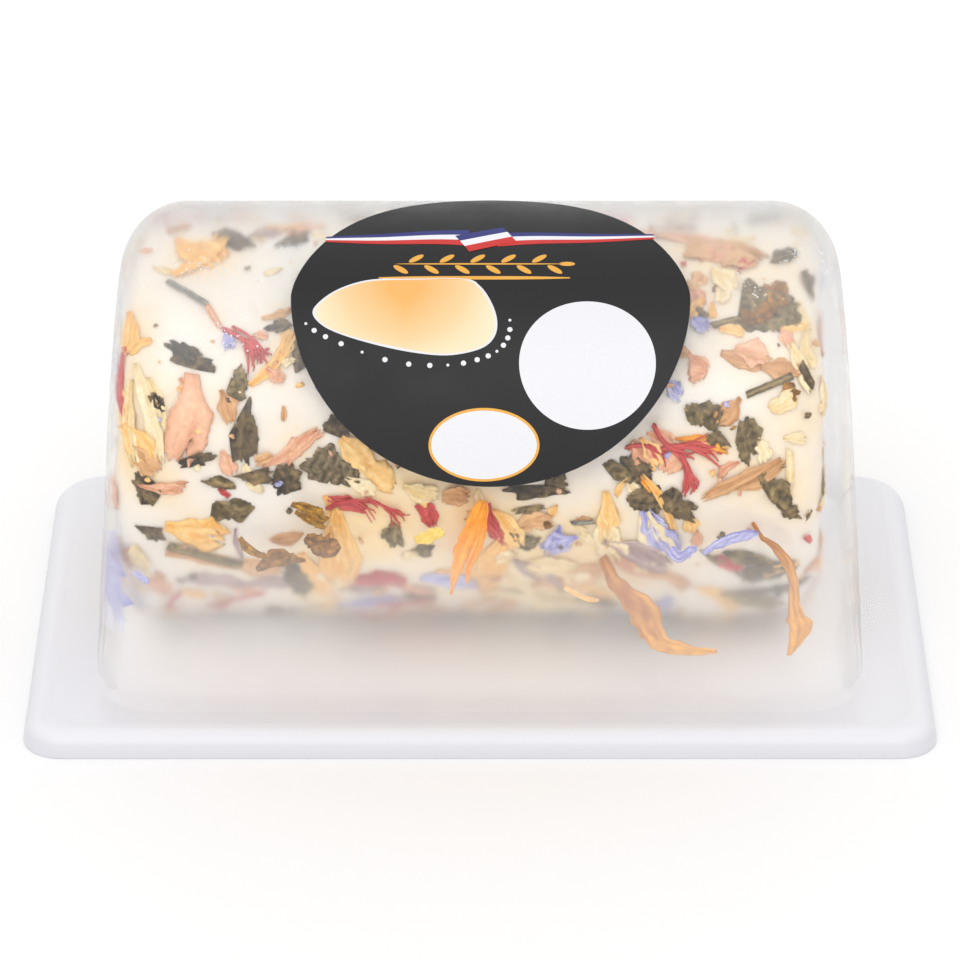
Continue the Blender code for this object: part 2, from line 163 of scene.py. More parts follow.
class Finish:
    """A material under construction: its Principled shader and short ways to add nodes."""

    def __init__(self, name, colour, roughness):
        self.material = bpy.data.materials.new(name)
        self.material.use_nodes = True
        self.tree = self.material.node_tree
        self.shader = self.tree.nodes["Principled BSDF"]
        self.set("Base Color", colour)
        self.set("Roughness", roughness)

    def feed(self, socket, value):
        """Links a node's output to the socket, or sets an even value on it."""
        if isinstance(value, bpy.types.NodeSocket):
            self.tree.links.new(value, socket)
        else:
            socket.default_value = (*value, 1.0) if socket.type == "RGBA" else value

    def set(self, socket, value):
        self.feed(self.shader.inputs[socket], value)

    def add(self, kind, **values):
        node = self.tree.nodes.new(kind)
        for key, value in values.items():
            if hasattr(node, key):
                setattr(node, key, value)
            else:
                self.feed(node.inputs[key.replace("_", " ")], value)
        return node

    def place(self):
        return self.add("ShaderNodeTexCoord").outputs["Object"]

    def axes(self):
        """X, Y and Z of the place on the object, in metres."""
        return self.add("ShaderNodeSeparateXYZ", Vector=self.place()).outputs

    def tone(self):
        return self.add("ShaderNodeVertexColor", layer_name="tone").outputs["Color"]

    def noise(self, scale, detail=3.0, roughness=0.55):
        values = {"Scale": scale, "Detail": detail, "Roughness": roughness, "Vector": self.place()}
        return self.add("ShaderNodeTexNoise", **values).outputs["Fac"]

    def ramp(self, source, *stops):
        made = self.add("ShaderNodeValToRGB", Fac=source)
        elements = made.color_ramp.elements
        while len(elements) < len(stops):
            elements.new(0.5)
        for element, (at, colour) in zip(elements, stops):
            element.position = at
            element.color = (*colour, 1.0)
        return made.outputs["Color"]

    def mix(self, factor, first, second, blend="MIX"):
        made = self.add("ShaderNodeMix", data_type="RGBA", blend_type=blend)
        for socket, value in ((0, factor), (6, first), (7, second)):
            self.feed(made.inputs[socket], value)
        return made.outputs[2]

    def maths(self, operation, *values):
        made = self.add("ShaderNodeMath", operation=operation)
        for socket, value in zip(made.inputs, values):
            self.feed(socket, value)
        return made.outputs[0]

    def ranged(self, source, low, high, to_low=0.0, to_high=1.0):
        values = {"Value": source, "From_Min": low, "From_Max": high, "To_Min": to_low, "To_Max": to_high}
        return self.add("ShaderNodeMapRange", **values).outputs[0]

    def bump(self, source, strength, distance):
        made = self.add("ShaderNodeBump", Strength=strength, Distance=distance, Height=source)
        self.set("Normal", made.outputs[0])


def piece(name, mesh, finish):
    mesh.shade_smooth()
    mesh.materials.append(finish.material)
    return put(name, mesh)


def piece_from_bmesh(name, body, finish):
    bmesh.ops.recalc_face_normals(body, faces=body.faces)
    mesh = bpy.data.meshes.new(name)
    body.to_mesh(mesh)
    body.free()
    return piece(name, mesh, finish)


def paint(made, tones):
    """Gives each point of the piece its tone, as red, green, blue and alpha."""
    layer = made.data.color_attributes.new("tone", "FLOAT_COLOR", "POINT")
    layer.data.foreach_set("color", np.asarray(tones, np.float32).ravel())


def piece_from_arrays(name, points, faces, finish):
    mesh = bpy.data.meshes.new(name)
    mesh.from_pydata(points, [], faces)
    return piece(name, mesh, finish)


def keep(made, node=None):
    """The piece rides with the pack, and the part it stands in for, if given, is hidden."""
    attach(made, "root")
    if node is not None:
        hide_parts(node)


def smooth_by_angle(made, degrees=38.0):
    made.data.set_sharp_from_angle(angle=math.radians(degrees))


def rounded_outline(half_length, half_depth, front, back, steps):
    """Plan points anticlockwise from above, each corner an arc of steps segments."""
    corners = ((1, -1, front, -90), (1, 1, back, 0), (-1, 1, back, 90), (-1, -1, front, 180))
    points = []
    for side_x, side_y, radius, start in corners:
        for i in range(steps + 1):
            angle = math.radians(start + 90.0 * i / steps)
            x = side_x * (half_length - radius) + radius * math.cos(angle)
            y = side_y * (half_depth - radius) + radius * math.sin(angle)
            points.append((x, y))
    return points


def bridge(body, first, second):
    for a, b, c, d in zip(first, first[1:] + first[:1], second[1:] + second[:1], second):
        body.faces.new((a, b, c, d))


def tray_plastic():
    """Milky sheet, with painted shade making its walls darker, and painted light bounced off the cheese
    making the top a little warmer and lighter where the cheese rests.
    """
    made = Finish("tray_plastic", (0.785, 0.78, 0.815), 0.3)
    place = made.axes()
    # Painted shade: below the top, the walls get a darker colour than the top.
    height = made.ranged(place["Z"], 1.5 * MM, 2.7 * MM)
    painted_wall_shade = made.mix(height, (0.68, 0.675, 0.715), (0.82, 0.82, 0.86))
    # Painted light: where the cheese rests, the top is made lighter and warmer. This stands in for light
    # bounced off the cheese into its shade.
    along = made.ranged(made.maths("ABSOLUTE", place["X"]), 44.0 * MM, 40.0 * MM)
    across = made.ranged(made.maths("ABSOLUTE", place["Y"]), 27.0 * MM, 8.0 * MM)
    damp_and_bounce_light = made.maths("MULTIPLY", along, across)
    made.set("Base Color", made.mix(damp_and_bounce_light, painted_wall_shade, (0.93, 0.88, 0.84)))
    made.bump(made.noise(240.0, 2.0), 0.05, 0.4 * MM)
    return made


def make_tray():
    """The moulded sheet: outer skin from the rim to the top, inner skin back down."""
    steps, corner_steps = 12, 14
    smallest = 0.6 * MM
    body = bmesh.new()
    skins = []
    for wall in (0.0, TRAY_WALL):
        rings = []
        radius = SHOULDER - wall
        for i in range(-1, steps + 1):
            angle = math.radians(90.0 * max(i, 0) / steps)
            height = TRAY_TOP - wall - radius * (1.0 - math.sin(angle)) if i >= 0 else 0.0
            inset = wall + radius * (1.0 - math.cos(angle))
            front, back = (max(corner - inset, smallest) for corner in (FRONT_CORNER, BACK_CORNER))
            size = (TRAY_HALF_LENGTH - inset, TRAY_HALF_DEPTH - inset)
            outline = rounded_outline(*size, front, back, corner_steps)
            rings.append([body.verts.new((x, y, height)) for x, y in outline])
        skins.append(rings)
    outer, inner = skins
    for low, high in zip(outer, outer[1:]):
        bridge(body, low, high)
    for low, high in zip(inner, inner[1:]):
        bridge(body, high, low)
    bridge(body, inner[0], outer[0])
    body.faces.new(outer[-1])
    body.faces.new(inner[-1])
    made = piece_from_bmesh("tray_sheet", body, tray_plastic())
    smooth_by_angle(made)
    keep(made, "tray")


def plan_loop(half_length, half_depth, corner):
    """A rounded rectangle: front edge with its corners, right edge, back, left edge."""
    front = []
    for i in range(CORNER_STEPS + 1):
        turn = math.radians(90.0 * i / CORNER_STEPS)
        x = half_length - corner * (1.0 - math.sin(turn))
        front.append((x, corner * (1.0 - math.cos(turn)) - half_depth))
    along = np.linspace(-1.0, 1.0, EDGE_POINTS + 2)[1:-1]
    middle = [((half_length - corner) * share, -half_depth) for share in along]
    front_line = [(-x, y) for x, y in front[::-1]] + middle + front
    right_edge = [(half_length, (half_depth - corner) * share) for share in along]
    return front_line + right_edge + [(-x, -y) for x, y in front_line + right_edge]


def foot_loop(out):
    """The plan of the lid's foot, where its walls are straight, moved outwards."""
    return plan_loop(FOOT_HALF_LENGTH + out, FOOT_HALF_DEPTH + out, END_ROUND + out)


def lean_angle(wall):
    """Where the straight leg of the tunnel meets its arch, up from level."""
    rise = ARCH_CENTRE - PLATE_TOP
    foot = FOOT_HALF_DEPTH - wall
    return math.acos((ARCH_RADIUS - wall) / math.hypot(foot, rise)) - math.atan2(rise, foot)


def tunnel_loops(wall):
    """Loops of the lid's skin, from above the foot's flare up to the crest."""
    arch_steps, leg_steps = 30, 5
    end, foot, corner = FOOT_HALF_LENGTH - wall, FOOT_HALF_DEPTH - wall, END_ROUND - wall
    radius = ARCH_RADIUS - wall
    lean = lean_angle(wall)
    joint_y, joint_z = radius * math.cos(lean), ARCH_CENTRE + radius * math.sin(lean)
    start = FOOT_FLARE / (joint_z - PLATE_TOP)
    levels = []
    for i in range(leg_steps):
        share = start + (1.0 - start) * i / leg_steps
        reach = foot * (1.0 - share) + joint_y * share
        levels.append((reach, PLATE_TOP * (1.0 - share) + joint_z * share, 1.0, 0.0))
    for i in range(arch_steps + 1):
        angle = lean + (math.pi / 2 - lean) * i / arch_steps
        out, up = math.cos(angle), math.sin(angle)
        levels.append((radius * out, ARCH_CENTRE + radius * up, out, up))
    loops = []
    for reach, height, out, up in levels:
        loop = []
        for x, y in foot_loop(-wall):
            inset = max(foot - abs(y), 0.0)
            at_end = abs(x) >= end - 1e-9 and inset > corner - 1e-9
            inset = min(inset, corner)
            side, z = reach - inset * out, height - inset * up
            side = side * y / (foot - corner) if at_end else math.copysign(side, y)
            loop.append((x * drafted(z), side, z))
        loops.append(loop)
    return loops


def drafted(z):
    """How much the lid's length has shrunk at a height, by the slope of its ends."""
    return 1.0 - (z - PLATE_TOP) * math.tan(END_DRAFT) / FOOT_HALF_LENGTH


def flare_loops(wall):
    """Loops that sweep the foot of the lid's skin outwards into the flange."""
    count = 5
    radius = FOOT_FLARE + wall
    level = PLATE_TOP - wall
    bends = [(radius * 1.3, level), (radius * 1.1, level)]
    for i in range(count):
        turn = math.radians(90.0 * i / count)
        bends.append((radius * (1.0 - math.sin(turn)), level + radius * (1.0 - math.cos(turn))))
    return [[(x, y, z) for x, y in foot_loop(out - wall)] for out, z in bends]


def clear_plastic():
    """Thin clear sheet with a faint haze, more of it where condensation has gathered.

    Damp lies low down and near the crest. Low on the front wall at the left, extra white is
    painted in as light over the shade under the cheese's left end. Lamps and bounced light
    pass the sheet straight, so that what it covers is lit.
    """
    made = Finish("clear_plastic", (1.0, 1.0, 1.0), HAZE_HIGH)
    made.set("Transmission Weight", 1.0)
    made.set("IOR", 1.3)
    place = made.axes()
    x, z = place["X"], place["Z"]
    low = made.maths("MULTIPLY", made.ranged(z, 26.5 * MM, 19.0 * MM), made.ranged(z, 3.5 * MM, 6.0 * MM))
    damp_and_bounce_light = made.maths("MAXIMUM", low, made.ranged(z, 41.5 * MM, 49.0 * MM, 0.0, 0.7))
    made.set("Roughness", made.ranged(damp_and_bounce_light, 0.0, 1.0, HAZE_HIGH, HAZE_LOW))
    # Painted light: a band of extra white low on the front wall at the left, over the shade under the
    # cheese's left end.
    above = made.ranged(z, 6.5 * MM, 11.5 * MM, 0.0, PAINTED_LIGHT_VEIL)
    below = made.ranged(z, 16.0 * MM, 13.8 * MM, 0.0, PAINTED_LIGHT_VEIL)
    at_left = made.ranged(x, -12.0 * MM, -24.0 * MM)
    painted_light_veil = made.maths("MULTIPLY", at_left, made.maths("MINIMUM", below, above))
    clear = made.ranged(damp_and_bounce_light, 0.0, 1.0, 1.0, 1.0 - FOG)
    made.set("Transmission Weight", made.maths("SUBTRACT", clear, painted_light_veil))
    passing = made.ranged(z, PLATE_TOP + 1.1 * MM, PLATE_TOP + 0.1 * MM, 0.0, 0.95)
    ends = made.ranged(made.maths("ABSOLUTE", x), 40.5 * MM, 43.0 * MM, 0.0, 0.6)
    path = made.add("ShaderNodeLightPath").outputs
    for other in (ends, path["Is Shadow Ray"], path["Is Diffuse Ray"]):
        passing = made.maths("MAXIMUM", passing, other)
    both = made.add("ShaderNodeMixShader")
    open_air = made.add("ShaderNodeBsdfTransparent")
    for socket, source in zip(both.inputs, (passing, made.shader.outputs[0], open_air.outputs[0])):
        made.feed(socket, source)
    made.feed(made.tree.nodes["Material Output"].inputs["Surface"], both.outputs[0])
    return made


def make_lid():
    """The clear skin with its two faces, swept out at the foot into the flange."""
    body = bmesh.new()
    rims = []
    for wall in (0.0, LID_WALL):
        loops = flare_loops(wall) + tunnel_loops(wall)
        rings = [[body.verts.new(spot) for spot in loop] for loop in loops]
        for low, high in zip(rings, rings[1:]):
            bridge(body, low, high)
        rims.append(rings[0])
    outlines = []
    for inset, z in ((1.1 * MM, PLATE_TOP), (0.0, LID_BASE + 0.04 * MM), (0.0, LID_BASE)):
        size = (FLANGE_HALF_LENGTH - inset, FLANGE_HALF_DEPTH - inset, FLANGE_CORNER - inset)
        outlines.append([body.verts.new((x, y, z)) for x, y in plan_loop(*size)])
    rings = [rims[0], *outlines, rims[1]]
    for first, second in zip(rings, rings[1:]):
        bridge(body, first, second)
    bmesh.ops.remove_doubles(body, verts=body.verts, dist=1e-7)
    bmesh.ops.dissolve_degenerate(body, edges=body.edges, dist=1e-8)
    made = piece_from_bmesh("lid_clear", body, clear_plastic())
    smooth_by_angle(made, 30.0)
    keep(made, "lid")


def on_arch(x, arc, lift):
    """A point over the lid, arc metres from its crest towards the front."""
    angle = arc / ARCH_RADIUS
    radius = ARCH_RADIUS + lift
    return (x, -radius * math.sin(angle), ARCH_CENTRE + radius * math.cos(angle))


def slab(name, sheet, lift, thick, finish):
    """A thin layer on the arch, of two sheets: sheet adds one at a height, and gives its rim."""
    body = bmesh.new()
    bridge(body, sheet(body, lift), sheet(body, lift + thick))
    made = piece_from_bmesh(name, body, finish)
    smooth_by_angle(made)
    return made


def field(name, centre, outline, lift, finish, spokes=96, rings=10, thick=LAYER):
    """A printed field on the arch: a filled outline, given by angle, in a thin layer."""
    edge = [outline(math.tau * spoke / spokes) for spoke in range(spokes)]

    def sheet(body, level):
        middle = body.verts.new(on_arch(*centre, level))
        near = None
        for ring in range(1, rings + 1):
            places = [(centre[0] + x * ring / rings, centre[1] + arc * ring / rings) for x, arc in edge]
            row = [body.verts.new(on_arch(*place, level)) for place in places]
            if near is None:
                for first, second in zip(row, row[1:] + row[:1]):
                    body.faces.new((middle, first, second))
            else:
                bridge(body, near, row)
            near = row
        return near

    return slab(name, sheet, lift, thick, finish)


def label_outline(angle):
    """The egg: blunt below, drawn to a soft point over the crest."""
    below = math.sin(angle) > 0
    power = 2.0 if below else 1.5
    down = LABEL_DOWN if below else LABEL_UP
    side = math.copysign(abs(math.cos(angle)) ** (2.0 / power), math.cos(angle))
    along = math.copysign(abs(math.sin(angle)) ** (2.0 / power), math.sin(angle))
    return (LABEL_HALF_WIDTH * side, down * along)


def ellipse(half_width, half_height, tilt=0.0):
    turn = math.radians(tilt)

    def outline(angle):
        side, along = half_width * math.cos(angle), half_height * math.sin(angle)
        x = side * math.cos(turn) - along * math.sin(turn)
        return (x, side * math.sin(turn) + along * math.cos(turn))

    return outline


def strip(name, route, half, lift, finish, count=60):
    """A printed band on the arch: route gives x and arc, and half its half width, by share."""
    line = [(*route(i / count), half(i / count)) for i in range(count + 1)]

    def sheet(body, level):
        row = [[body.verts.new(on_arch(x, arc + side * wide, level)) for side in (-1, 1)]
               for x, arc, wide in line]
        for near, far in zip(row, row[1:]):
            body.faces.new((near[0], near[1], far[1], far[0]))
        return [pair[0] for pair in row] + [pair[1] for pair in row[::-1]]

    return slab(name, sheet, lift, LAYER, finish)


def print_finish(name, colour, roughness=0.42):
    made = Finish(name, colour, roughness)
    made.set("Specular IOR Level", 0.35)
    fibre = made.noise(2600.0, 2.0)
    darker = tuple(channel * 0.975 for channel in colour)
    made.set("Base Color", made.ramp(fibre, (0.35, darker), (0.65, colour)))
    rubbed = made.noise(180.0, 3.0)
    made.set("Roughness", made.ranged(rubbed, 0.3, 0.7, roughness - 0.05, roughness + 0.06))
    made.bump(fibre, 0.04, 0.1 * MM)
    return made


def make_label():
    """The black egg with its plain fields: gold egg, round and oval whites, a ribbon."""
    black = print_finish("label_black", (0.012, 0.012, 0.0135), 0.45)
    white = print_finish("label_white", (0.80, 0.80, 0.83))
    gold = print_finish("label_gold", (0.84, 0.42, 0.07))
    base = 0.02 * MM
    made = field("label_film", LABEL_CENTRE, label_outline, base, black, 160, 24, 0.10 * MM)
    keep(made, "label")
    over = base + 0.10 * MM
    round_centre, oval_centre = (12.1 * MM, 21.4 * MM), (0.45 * MM, 30.65 * MM)
    pieces = [
        field("label_round", round_centre, ellipse(7.7 * MM, 7.5 * MM), over, white),
        field("label_oval_edge", oval_centre, ellipse(6.25 * MM, 4.2 * MM), over, gold),
        field("label_oval", oval_centre, ellipse(5.95 * MM, 3.9 * MM), over + LAYER, white),
        field("label_egg_edge", EGG_CENTRE, egg_outline(0.0), over, white),
        field("label_egg", EGG_CENTRE, egg_outline(-0.30 * MM), over + LAYER, egg_gold()),
        gold_rule(over, gold),
    ]
    for made in pieces + ribbon(over) + sprig(over, gold) + dots(over, white):
        keep(made)


# The egg's outline, read off the photo by eye and turned by a scratch script into
# millimetres along and down from the crest
EGG_CENTRE = (-8.5 * MM, 15.6 * MM)
EGG = (
    (-18.9, 15.5), (-18.3, 14.1), (-16.3, 12.4), (-13.6, 11.2), (-10.8, 10.75), (-6.8, 10.7),
    (-1.6, 10.8), (0.0, 11.8), (1.2, 13.8), (1.9, 16.0), (1.8, 17.9), (0.8, 19.3), (-1.1, 20.1),
    (-3.9, 20.5), (-7.3, 20.2), (-11.2, 19.4), (-15.2, 18.2), (-17.7, 17.0),
)


def egg_outline(grow):
    """A smooth closed curve through the egg's points, pushed outwards by grow."""
    count = len(EGG)

    def outline(angle):
        share = angle / math.tau * count
        step = math.floor(share)
        u = share - step
        before, first, second, after = (Vector(EGG[(step + k) % count]) for k in (-1, 0, 1, 2))
        spot = 2.0 * first + (second - before) * u
        spot += (2.0 * before - 5.0 * first + 4.0 * second - after) * u ** 2
        spot += (3.0 * first - before - 3.0 * second + after) * u ** 3
        offset = spot / 2.0 * MM - Vector(EGG_CENTRE)
        return tuple(offset * (1.0 + grow / offset.length))

    return outline


def cluster(name, outlines, lift, finish):
    """Several small printed fields joined in one piece."""
    made = [field(name, at, outline, lift, finish, 20, 2) for at, outline in outlines]
    with bpy.context.temp_override(active_object=made[0], selected_editable_objects=made):
        bpy.ops.object.join()
    return made[0]


def sprig(lift, finish):
    """A plain gold twig with pairs of small leaves, over the egg and the rule."""
    leaves = []
    for i in range(11):
        x = -9.4 + 1.75 * i
        up = -1.0 if i % 2 else 1.0
        leaves.append((((x + 0.4) * MM, (8.55 + 0.85 * up) * MM), ellipse(1.0 * MM, 0.36 * MM, 36.0 * up)))
    leaves.append(((9.9 * MM, 8.55 * MM), ellipse(0.9 * MM, 0.32 * MM)))
    leaves.append(((0.0, 8.55 * MM), ellipse(9.6 * MM, 0.11 * MM)))
    return [cluster("label_sprig", leaves, lift, finish)]


def dots(lift, finish):
    """A row of small white dots that follows the egg's lower edge."""
    round_egg = egg_outline(1.45 * MM)
    places = []
    for i in range(17):
        side, along = round_egg(math.tau * (17.3 - 8.2 * i / 16) / len(EGG))
        x, arc = EGG_CENTRE[0] + side, EGG_CENTRE[1] + along
        size = 0.30 * MM if i % 4 else 0.17 * MM
        places.append(((x, arc), ellipse(size, size)))
    return [cluster("label_dots", places, lift, finish)]


def egg_gold():
    """Warm gold, deepest under the rule, paling to the egg's ends and lower edge."""
    made = Finish("label_egg_gold", (0.95, 0.62, 0.25), 0.42)
    made.set("Specular IOR Level", 0.35)
    place = made.axes()
    hump = made.maths("PINGPONG", made.ranged(place["X"], -19.0 * MM, 2.0 * MM), 0.5)
    deep = made.maths("MULTIPLY", hump, made.ranged(place["Z"], 43.7 * MM, 49.5 * MM))
    pale, middle, strong = (0.97, 0.79, 0.56), (0.96, 0.62, 0.33), (0.95, 0.46, 0.14)
    made.set("Base Color", made.ramp(deep, (0.0, pale), (0.16, middle), (0.42, strong)))
    return made


def gold_rule(lift, finish):
    start, end = -11.5 * MM, 10.2 * MM

    def route(share):
        return (start + (end - start) * share, 10.65 * MM)

    def half(share):
        return 0.24 * MM * (1.0 - 0.7 * abs(2.0 * share - 1.0) ** 3)

    return strip("label_rule", route, half, lift, finish)


def ribbon(lift):
    """Three stripes side by side that taper to both ends, with a small slanted flag."""
    colours = (
        ("blue", (0.032, 0.036, 0.20)),
        ("white", (0.86, 0.86, 0.89)),
        ("red", (0.62, 0.035, 0.03)),
    )
    halves = (("left", -17.6, -1.2, 4.30, 3.95), ("right", 19.9, 2.0, 3.75, 4.35))
    made = []
    for number, (word, colour) in enumerate(colours):
        finish = print_finish("ribbon_" + word, colour)
        for part, start, end, from_arc, to_arc in halves:

            def wide(share):
                return (0.15 + (0.36 if part == "left" else 0.28) * share ** 0.8) * MM

            def route(share):
                x = (start + (end - start) * share) * MM
                dip = 0.22 * math.sin(math.tau * share) * share
                arc = (from_arc + (to_arc - from_arc) * share + dip) * MM
                return (x, arc + (number - 1) * 2.0 * wide(share))

            made.append(strip("ribbon_" + part + "_" + word, route, wide, lift, finish, 80))
        made.append(flag_stripe("flag_" + word, number, lift + LAYER, finish))
    return made


def flag_stripe(name, number, lift, finish):
    """One long stripe of the slanted flag, which is 5.4 mm long."""
    corner, ahead, aside = (-2.8, 3.65), (5.4, -1.8), (0.52, 0.97)

    def outline(angle):
        u, v = math.cos(angle), math.sin(angle)
        square = max(abs(u), abs(v))
        u, v = 0.5 * u / square, 0.5 * v / square
        return ((ahead[0] * u + aside[0] * v) * MM, (ahead[1] * u + aside[1] * v) * MM)

    step = number + 0.5
    centre = (
        (corner[0] + ahead[0] / 2 + aside[0] * step) * MM,
        (corner[1] + ahead[1] / 2 + aside[1] * step) * MM,
    )
    return field(name, centre, outline, lift, finish, 64, 4)


def eased(value):
    value = min(max(value, 0.0), 1.0)
    return value * value * (3.0 - 2.0 * value)


def log_profile(along):
    """Place, inset and slope of the cheese's skin, along metres from its middle."""
    side = math.copysign(1.0, along)
    end = LOG_RIGHT if side > 0 else -LOG_LEFT
    straight = end - LOG_END_ROUND
    past = max(abs(along) - straight, 0.0)
    slope = min(past / LOG_END_ROUND, math.pi / 2)
    down = past - slope * LOG_END_ROUND
    place = min(abs(along), straight) + LOG_END_ROUND * math.sin(slope)
    inset = LOG_END_ROUND * (1.0 - math.cos(slope)) + down
    return side * place, inset, side * slope


def log_point(along, angle, lift=0.0):
    """A point on the cheese, angle measured from its top towards the front."""
    x, inset, slope = log_profile(along)
    spot = Vector((x * 90.0, math.sin(angle) * 2.2, math.cos(angle) * 2.2))
    lift = lift + LUMP * 2.0 * noise.noise(spot) * eased((LOG_HALF_WIDTH - inset) / END_CALM)
    x = x + lift * math.sin(slope)
    low = max(-math.cos(angle) - 0.75, 0.0) / 0.25
    grow = lift * math.cos(slope) - inset + SAG * low
    y = LOG_Y - (LOG_HALF_WIDTH + grow) * math.sin(angle)
    z = LOG_Z + (LOG_HALF_HEIGHT + grow) * math.cos(angle)
    return Vector((x, y, z))


def kept_inside(point, margin):
    """The point, moved in where it would come within margin of the lid or tray."""
    x, y, z = point
    z = max(z, TRAY_TOP + margin)
    shrink = drafted(z)
    round_off = END_ROUND - LID_WALL - margin
    straight = FOOT_HALF_LENGTH - END_ROUND
    middle = ARCH_RADIUS - END_ROUND
    drop = max(ARCH_CENTRE - z, 0.0) / (ARCH_CENTRE - PLATE_TOP)
    middle += (FOOT_HALF_DEPTH - ARCH_RADIUS) * drop
    out = abs(y) if z < ARCH_CENTRE else math.hypot(y, z - ARCH_CENTRE)
    past_x = max(abs(x) / shrink - straight, 0.0)
    past_out = max(out - middle, 0.0)
    reach = math.hypot(past_x, past_out)
    if reach > round_off:
        if past_x > 0.0:
            x = math.copysign((straight + past_x * round_off / reach) * shrink, x)
        wanted = middle + past_out * round_off / reach
        if past_out > 0.0 and z < ARCH_CENTRE:
            y = math.copysign(wanted, y)
        elif past_out > 0.0:
            y = y * wanted / out
            z = ARCH_CENTRE + (z - ARCH_CENTRE) * wanted / out
    return Vector((x, y, z))


# Where petals have bled warm colour into the paste, mostly by places read off the photo
# as for the list below: millimetres along, degrees round, reach and strength
STAINS = (
    (-6.8, 88, 8, 0.8), (-11.0, 98, 7, 0.8), (0.0, 92, 8, 0.7), (9.0, 104, 8, 0.8),
    (15.0, 108, 7, 0.6), (-15.5, 102, 5, 0.7), (-17.0, 118, 6, 0.5), (37.5, 40, 5, 0.6),
    (37.0, 64, 6, 0.5), (36.3, 87, 5, 0.6), (-40.4, 58, 6, 0.8), (-39.6, 76, 6, 0.7),
    (-40.2, 36, 5, 0.6), (34.0, 16, 8, 0.4), (-31.0, 9, 6, 0.5), (9.0, 119, 9, 0.6),
    (25.0, 104, 7, 0.4), (-12.4, 81, 6, 0.8), (31.0, 70, 5, 0.3), (25.0, 12, 7, 0.35),
    (28.0, 30, 7, 0.25), (0.0, 116, 9, 0.7), (12.0, 122, 8, 0.6), (-20.0, 112, 6, 0.4),
)


def stain_at(along, turn):
    """How warm the paste is at points given in metres along and degrees round."""
    spots = list(STAINS)
    for (_, colour), rows in SHOWN.items():
        if colour in ("amber", "orange", "tan", "salmon"):
            spots += [(row[0], row[1], row[2] / 2 + 0.6, 0.35) for row in rows]
    unseen_stains = 34
    dice = random.Random(SEED + 1)
    for _ in range(unseen_stains):
        place = (dice.uniform(-44, 42), dice.uniform(125, 350))
        spots.append((*place, dice.uniform(4, 8), dice.uniform(0.3, 0.8)))
    left = np.ones_like(along)
    for a, t, reach, strength in spots:
        apart = np.abs((turn - t + 180.0) % 360.0 - 180.0)
        arc = np.radians(apart) * LOG_HALF_WIDTH / MM
        far = ((along / MM - a) ** 2 + arc ** 2) / reach ** 2
        left *= 1.0 - strength * np.exp(-2.0 * far)
    return 1.0 - left


def cheese_finish():
    """Soft cream paste, with warm stains where petals have bled into it."""
    made = Finish("cheese", (0.95, 0.89, 0.79), 0.5)
    made.set("Subsurface Weight", 0.3)
    made.set("Subsurface Radius", (0.0035, 0.0026, 0.0016))
    made.set("Subsurface Scale", 0.5)
    cream = made.ramp(made.noise(80.0, 4.0), (0.30, (0.87, 0.785, 0.69)), (0.62, (0.885, 0.825, 0.75)))
    patchy = made.ramp(made.noise(260.0, 4.0, 0.65), (0.3, (0.55, 0.55, 0.55)), (0.6, (1.0, 1.0, 1.0)))
    stain = made.mix(1.0, made.tone(), patchy, "MULTIPLY")
    made.set("Base Color", made.mix(stain, cream, (0.95, 0.67, 0.31)))
    made.bump(made.noise(900.0, 5.0, 0.6), 0.35, 0.3 * MM)
    return made


def make_cheese():
    """The bare log, with lumps, smears and small crumbs in its surface."""
    around, middle, turn_steps, face_steps = 220, 190, 12, 12
    turn = LOG_END_ROUND * math.pi / 2
    left = LOG_LEFT + LOG_END_ROUND
    right = LOG_RIGHT - LOG_END_ROUND
    face = LOG_HALF_WIDTH - LOG_END_ROUND - 1.0 * MM
    steps = [left - turn - face * (1.0 - i / face_steps) for i in range(face_steps)]
    steps += [left - turn * (1.0 - i / turn_steps) for i in range(turn_steps)]
    steps += [left + (right - left) * i / middle for i in range(middle + 1)]
    steps += [right + turn * (i + 1) / turn_steps for i in range(turn_steps)]
    steps += [right + turn + face * (i + 1) / face_steps for i in range(face_steps)]
    body = bmesh.new()
    rings, places = [], []
    for along in steps:
        ring = []
        for i in range(around):
            angle = math.tau * i / around
            places.append((along, math.degrees(angle)))
            spot = log_point(along, angle)
            fine = noise.noise(spot * 420.0) * 0.10 + noise.noise(spot * 1100.0) * 0.05
            pit = max(noise.noise(spot * 260.0 + Vector((7.0, 3.0, 1.0))) - 0.32, 0.0) * -1.1
            spot = log_point(along, angle, (fine + pit) * MM)
            ring.append(body.verts.new(kept_inside(spot, CLEAR + ROOM)))
        rings.append(ring)
    for near, far in zip(rings, rings[1:]):
        bridge(body, near, far)
    for along, ring, turned_over in ((steps[0], rings[0], True), (steps[-1], rings[-1], False)):
        tip = body.verts.new(sum((corner.co for corner in ring), Vector()) / around)
        places.append((along, 0.0))
        for first, second in zip(ring, ring[1:] + ring[:1]):
            body.faces.new((second, first, tip) if turned_over else (first, second, tip))
    made = piece_from_bmesh("cheese", body, cheese_finish())
    stain = stain_at(*np.array(places).T)
    paint(made, np.stack([stain, stain, stain, np.ones_like(stain)], axis=1))
    keep(made, "cheese_log")


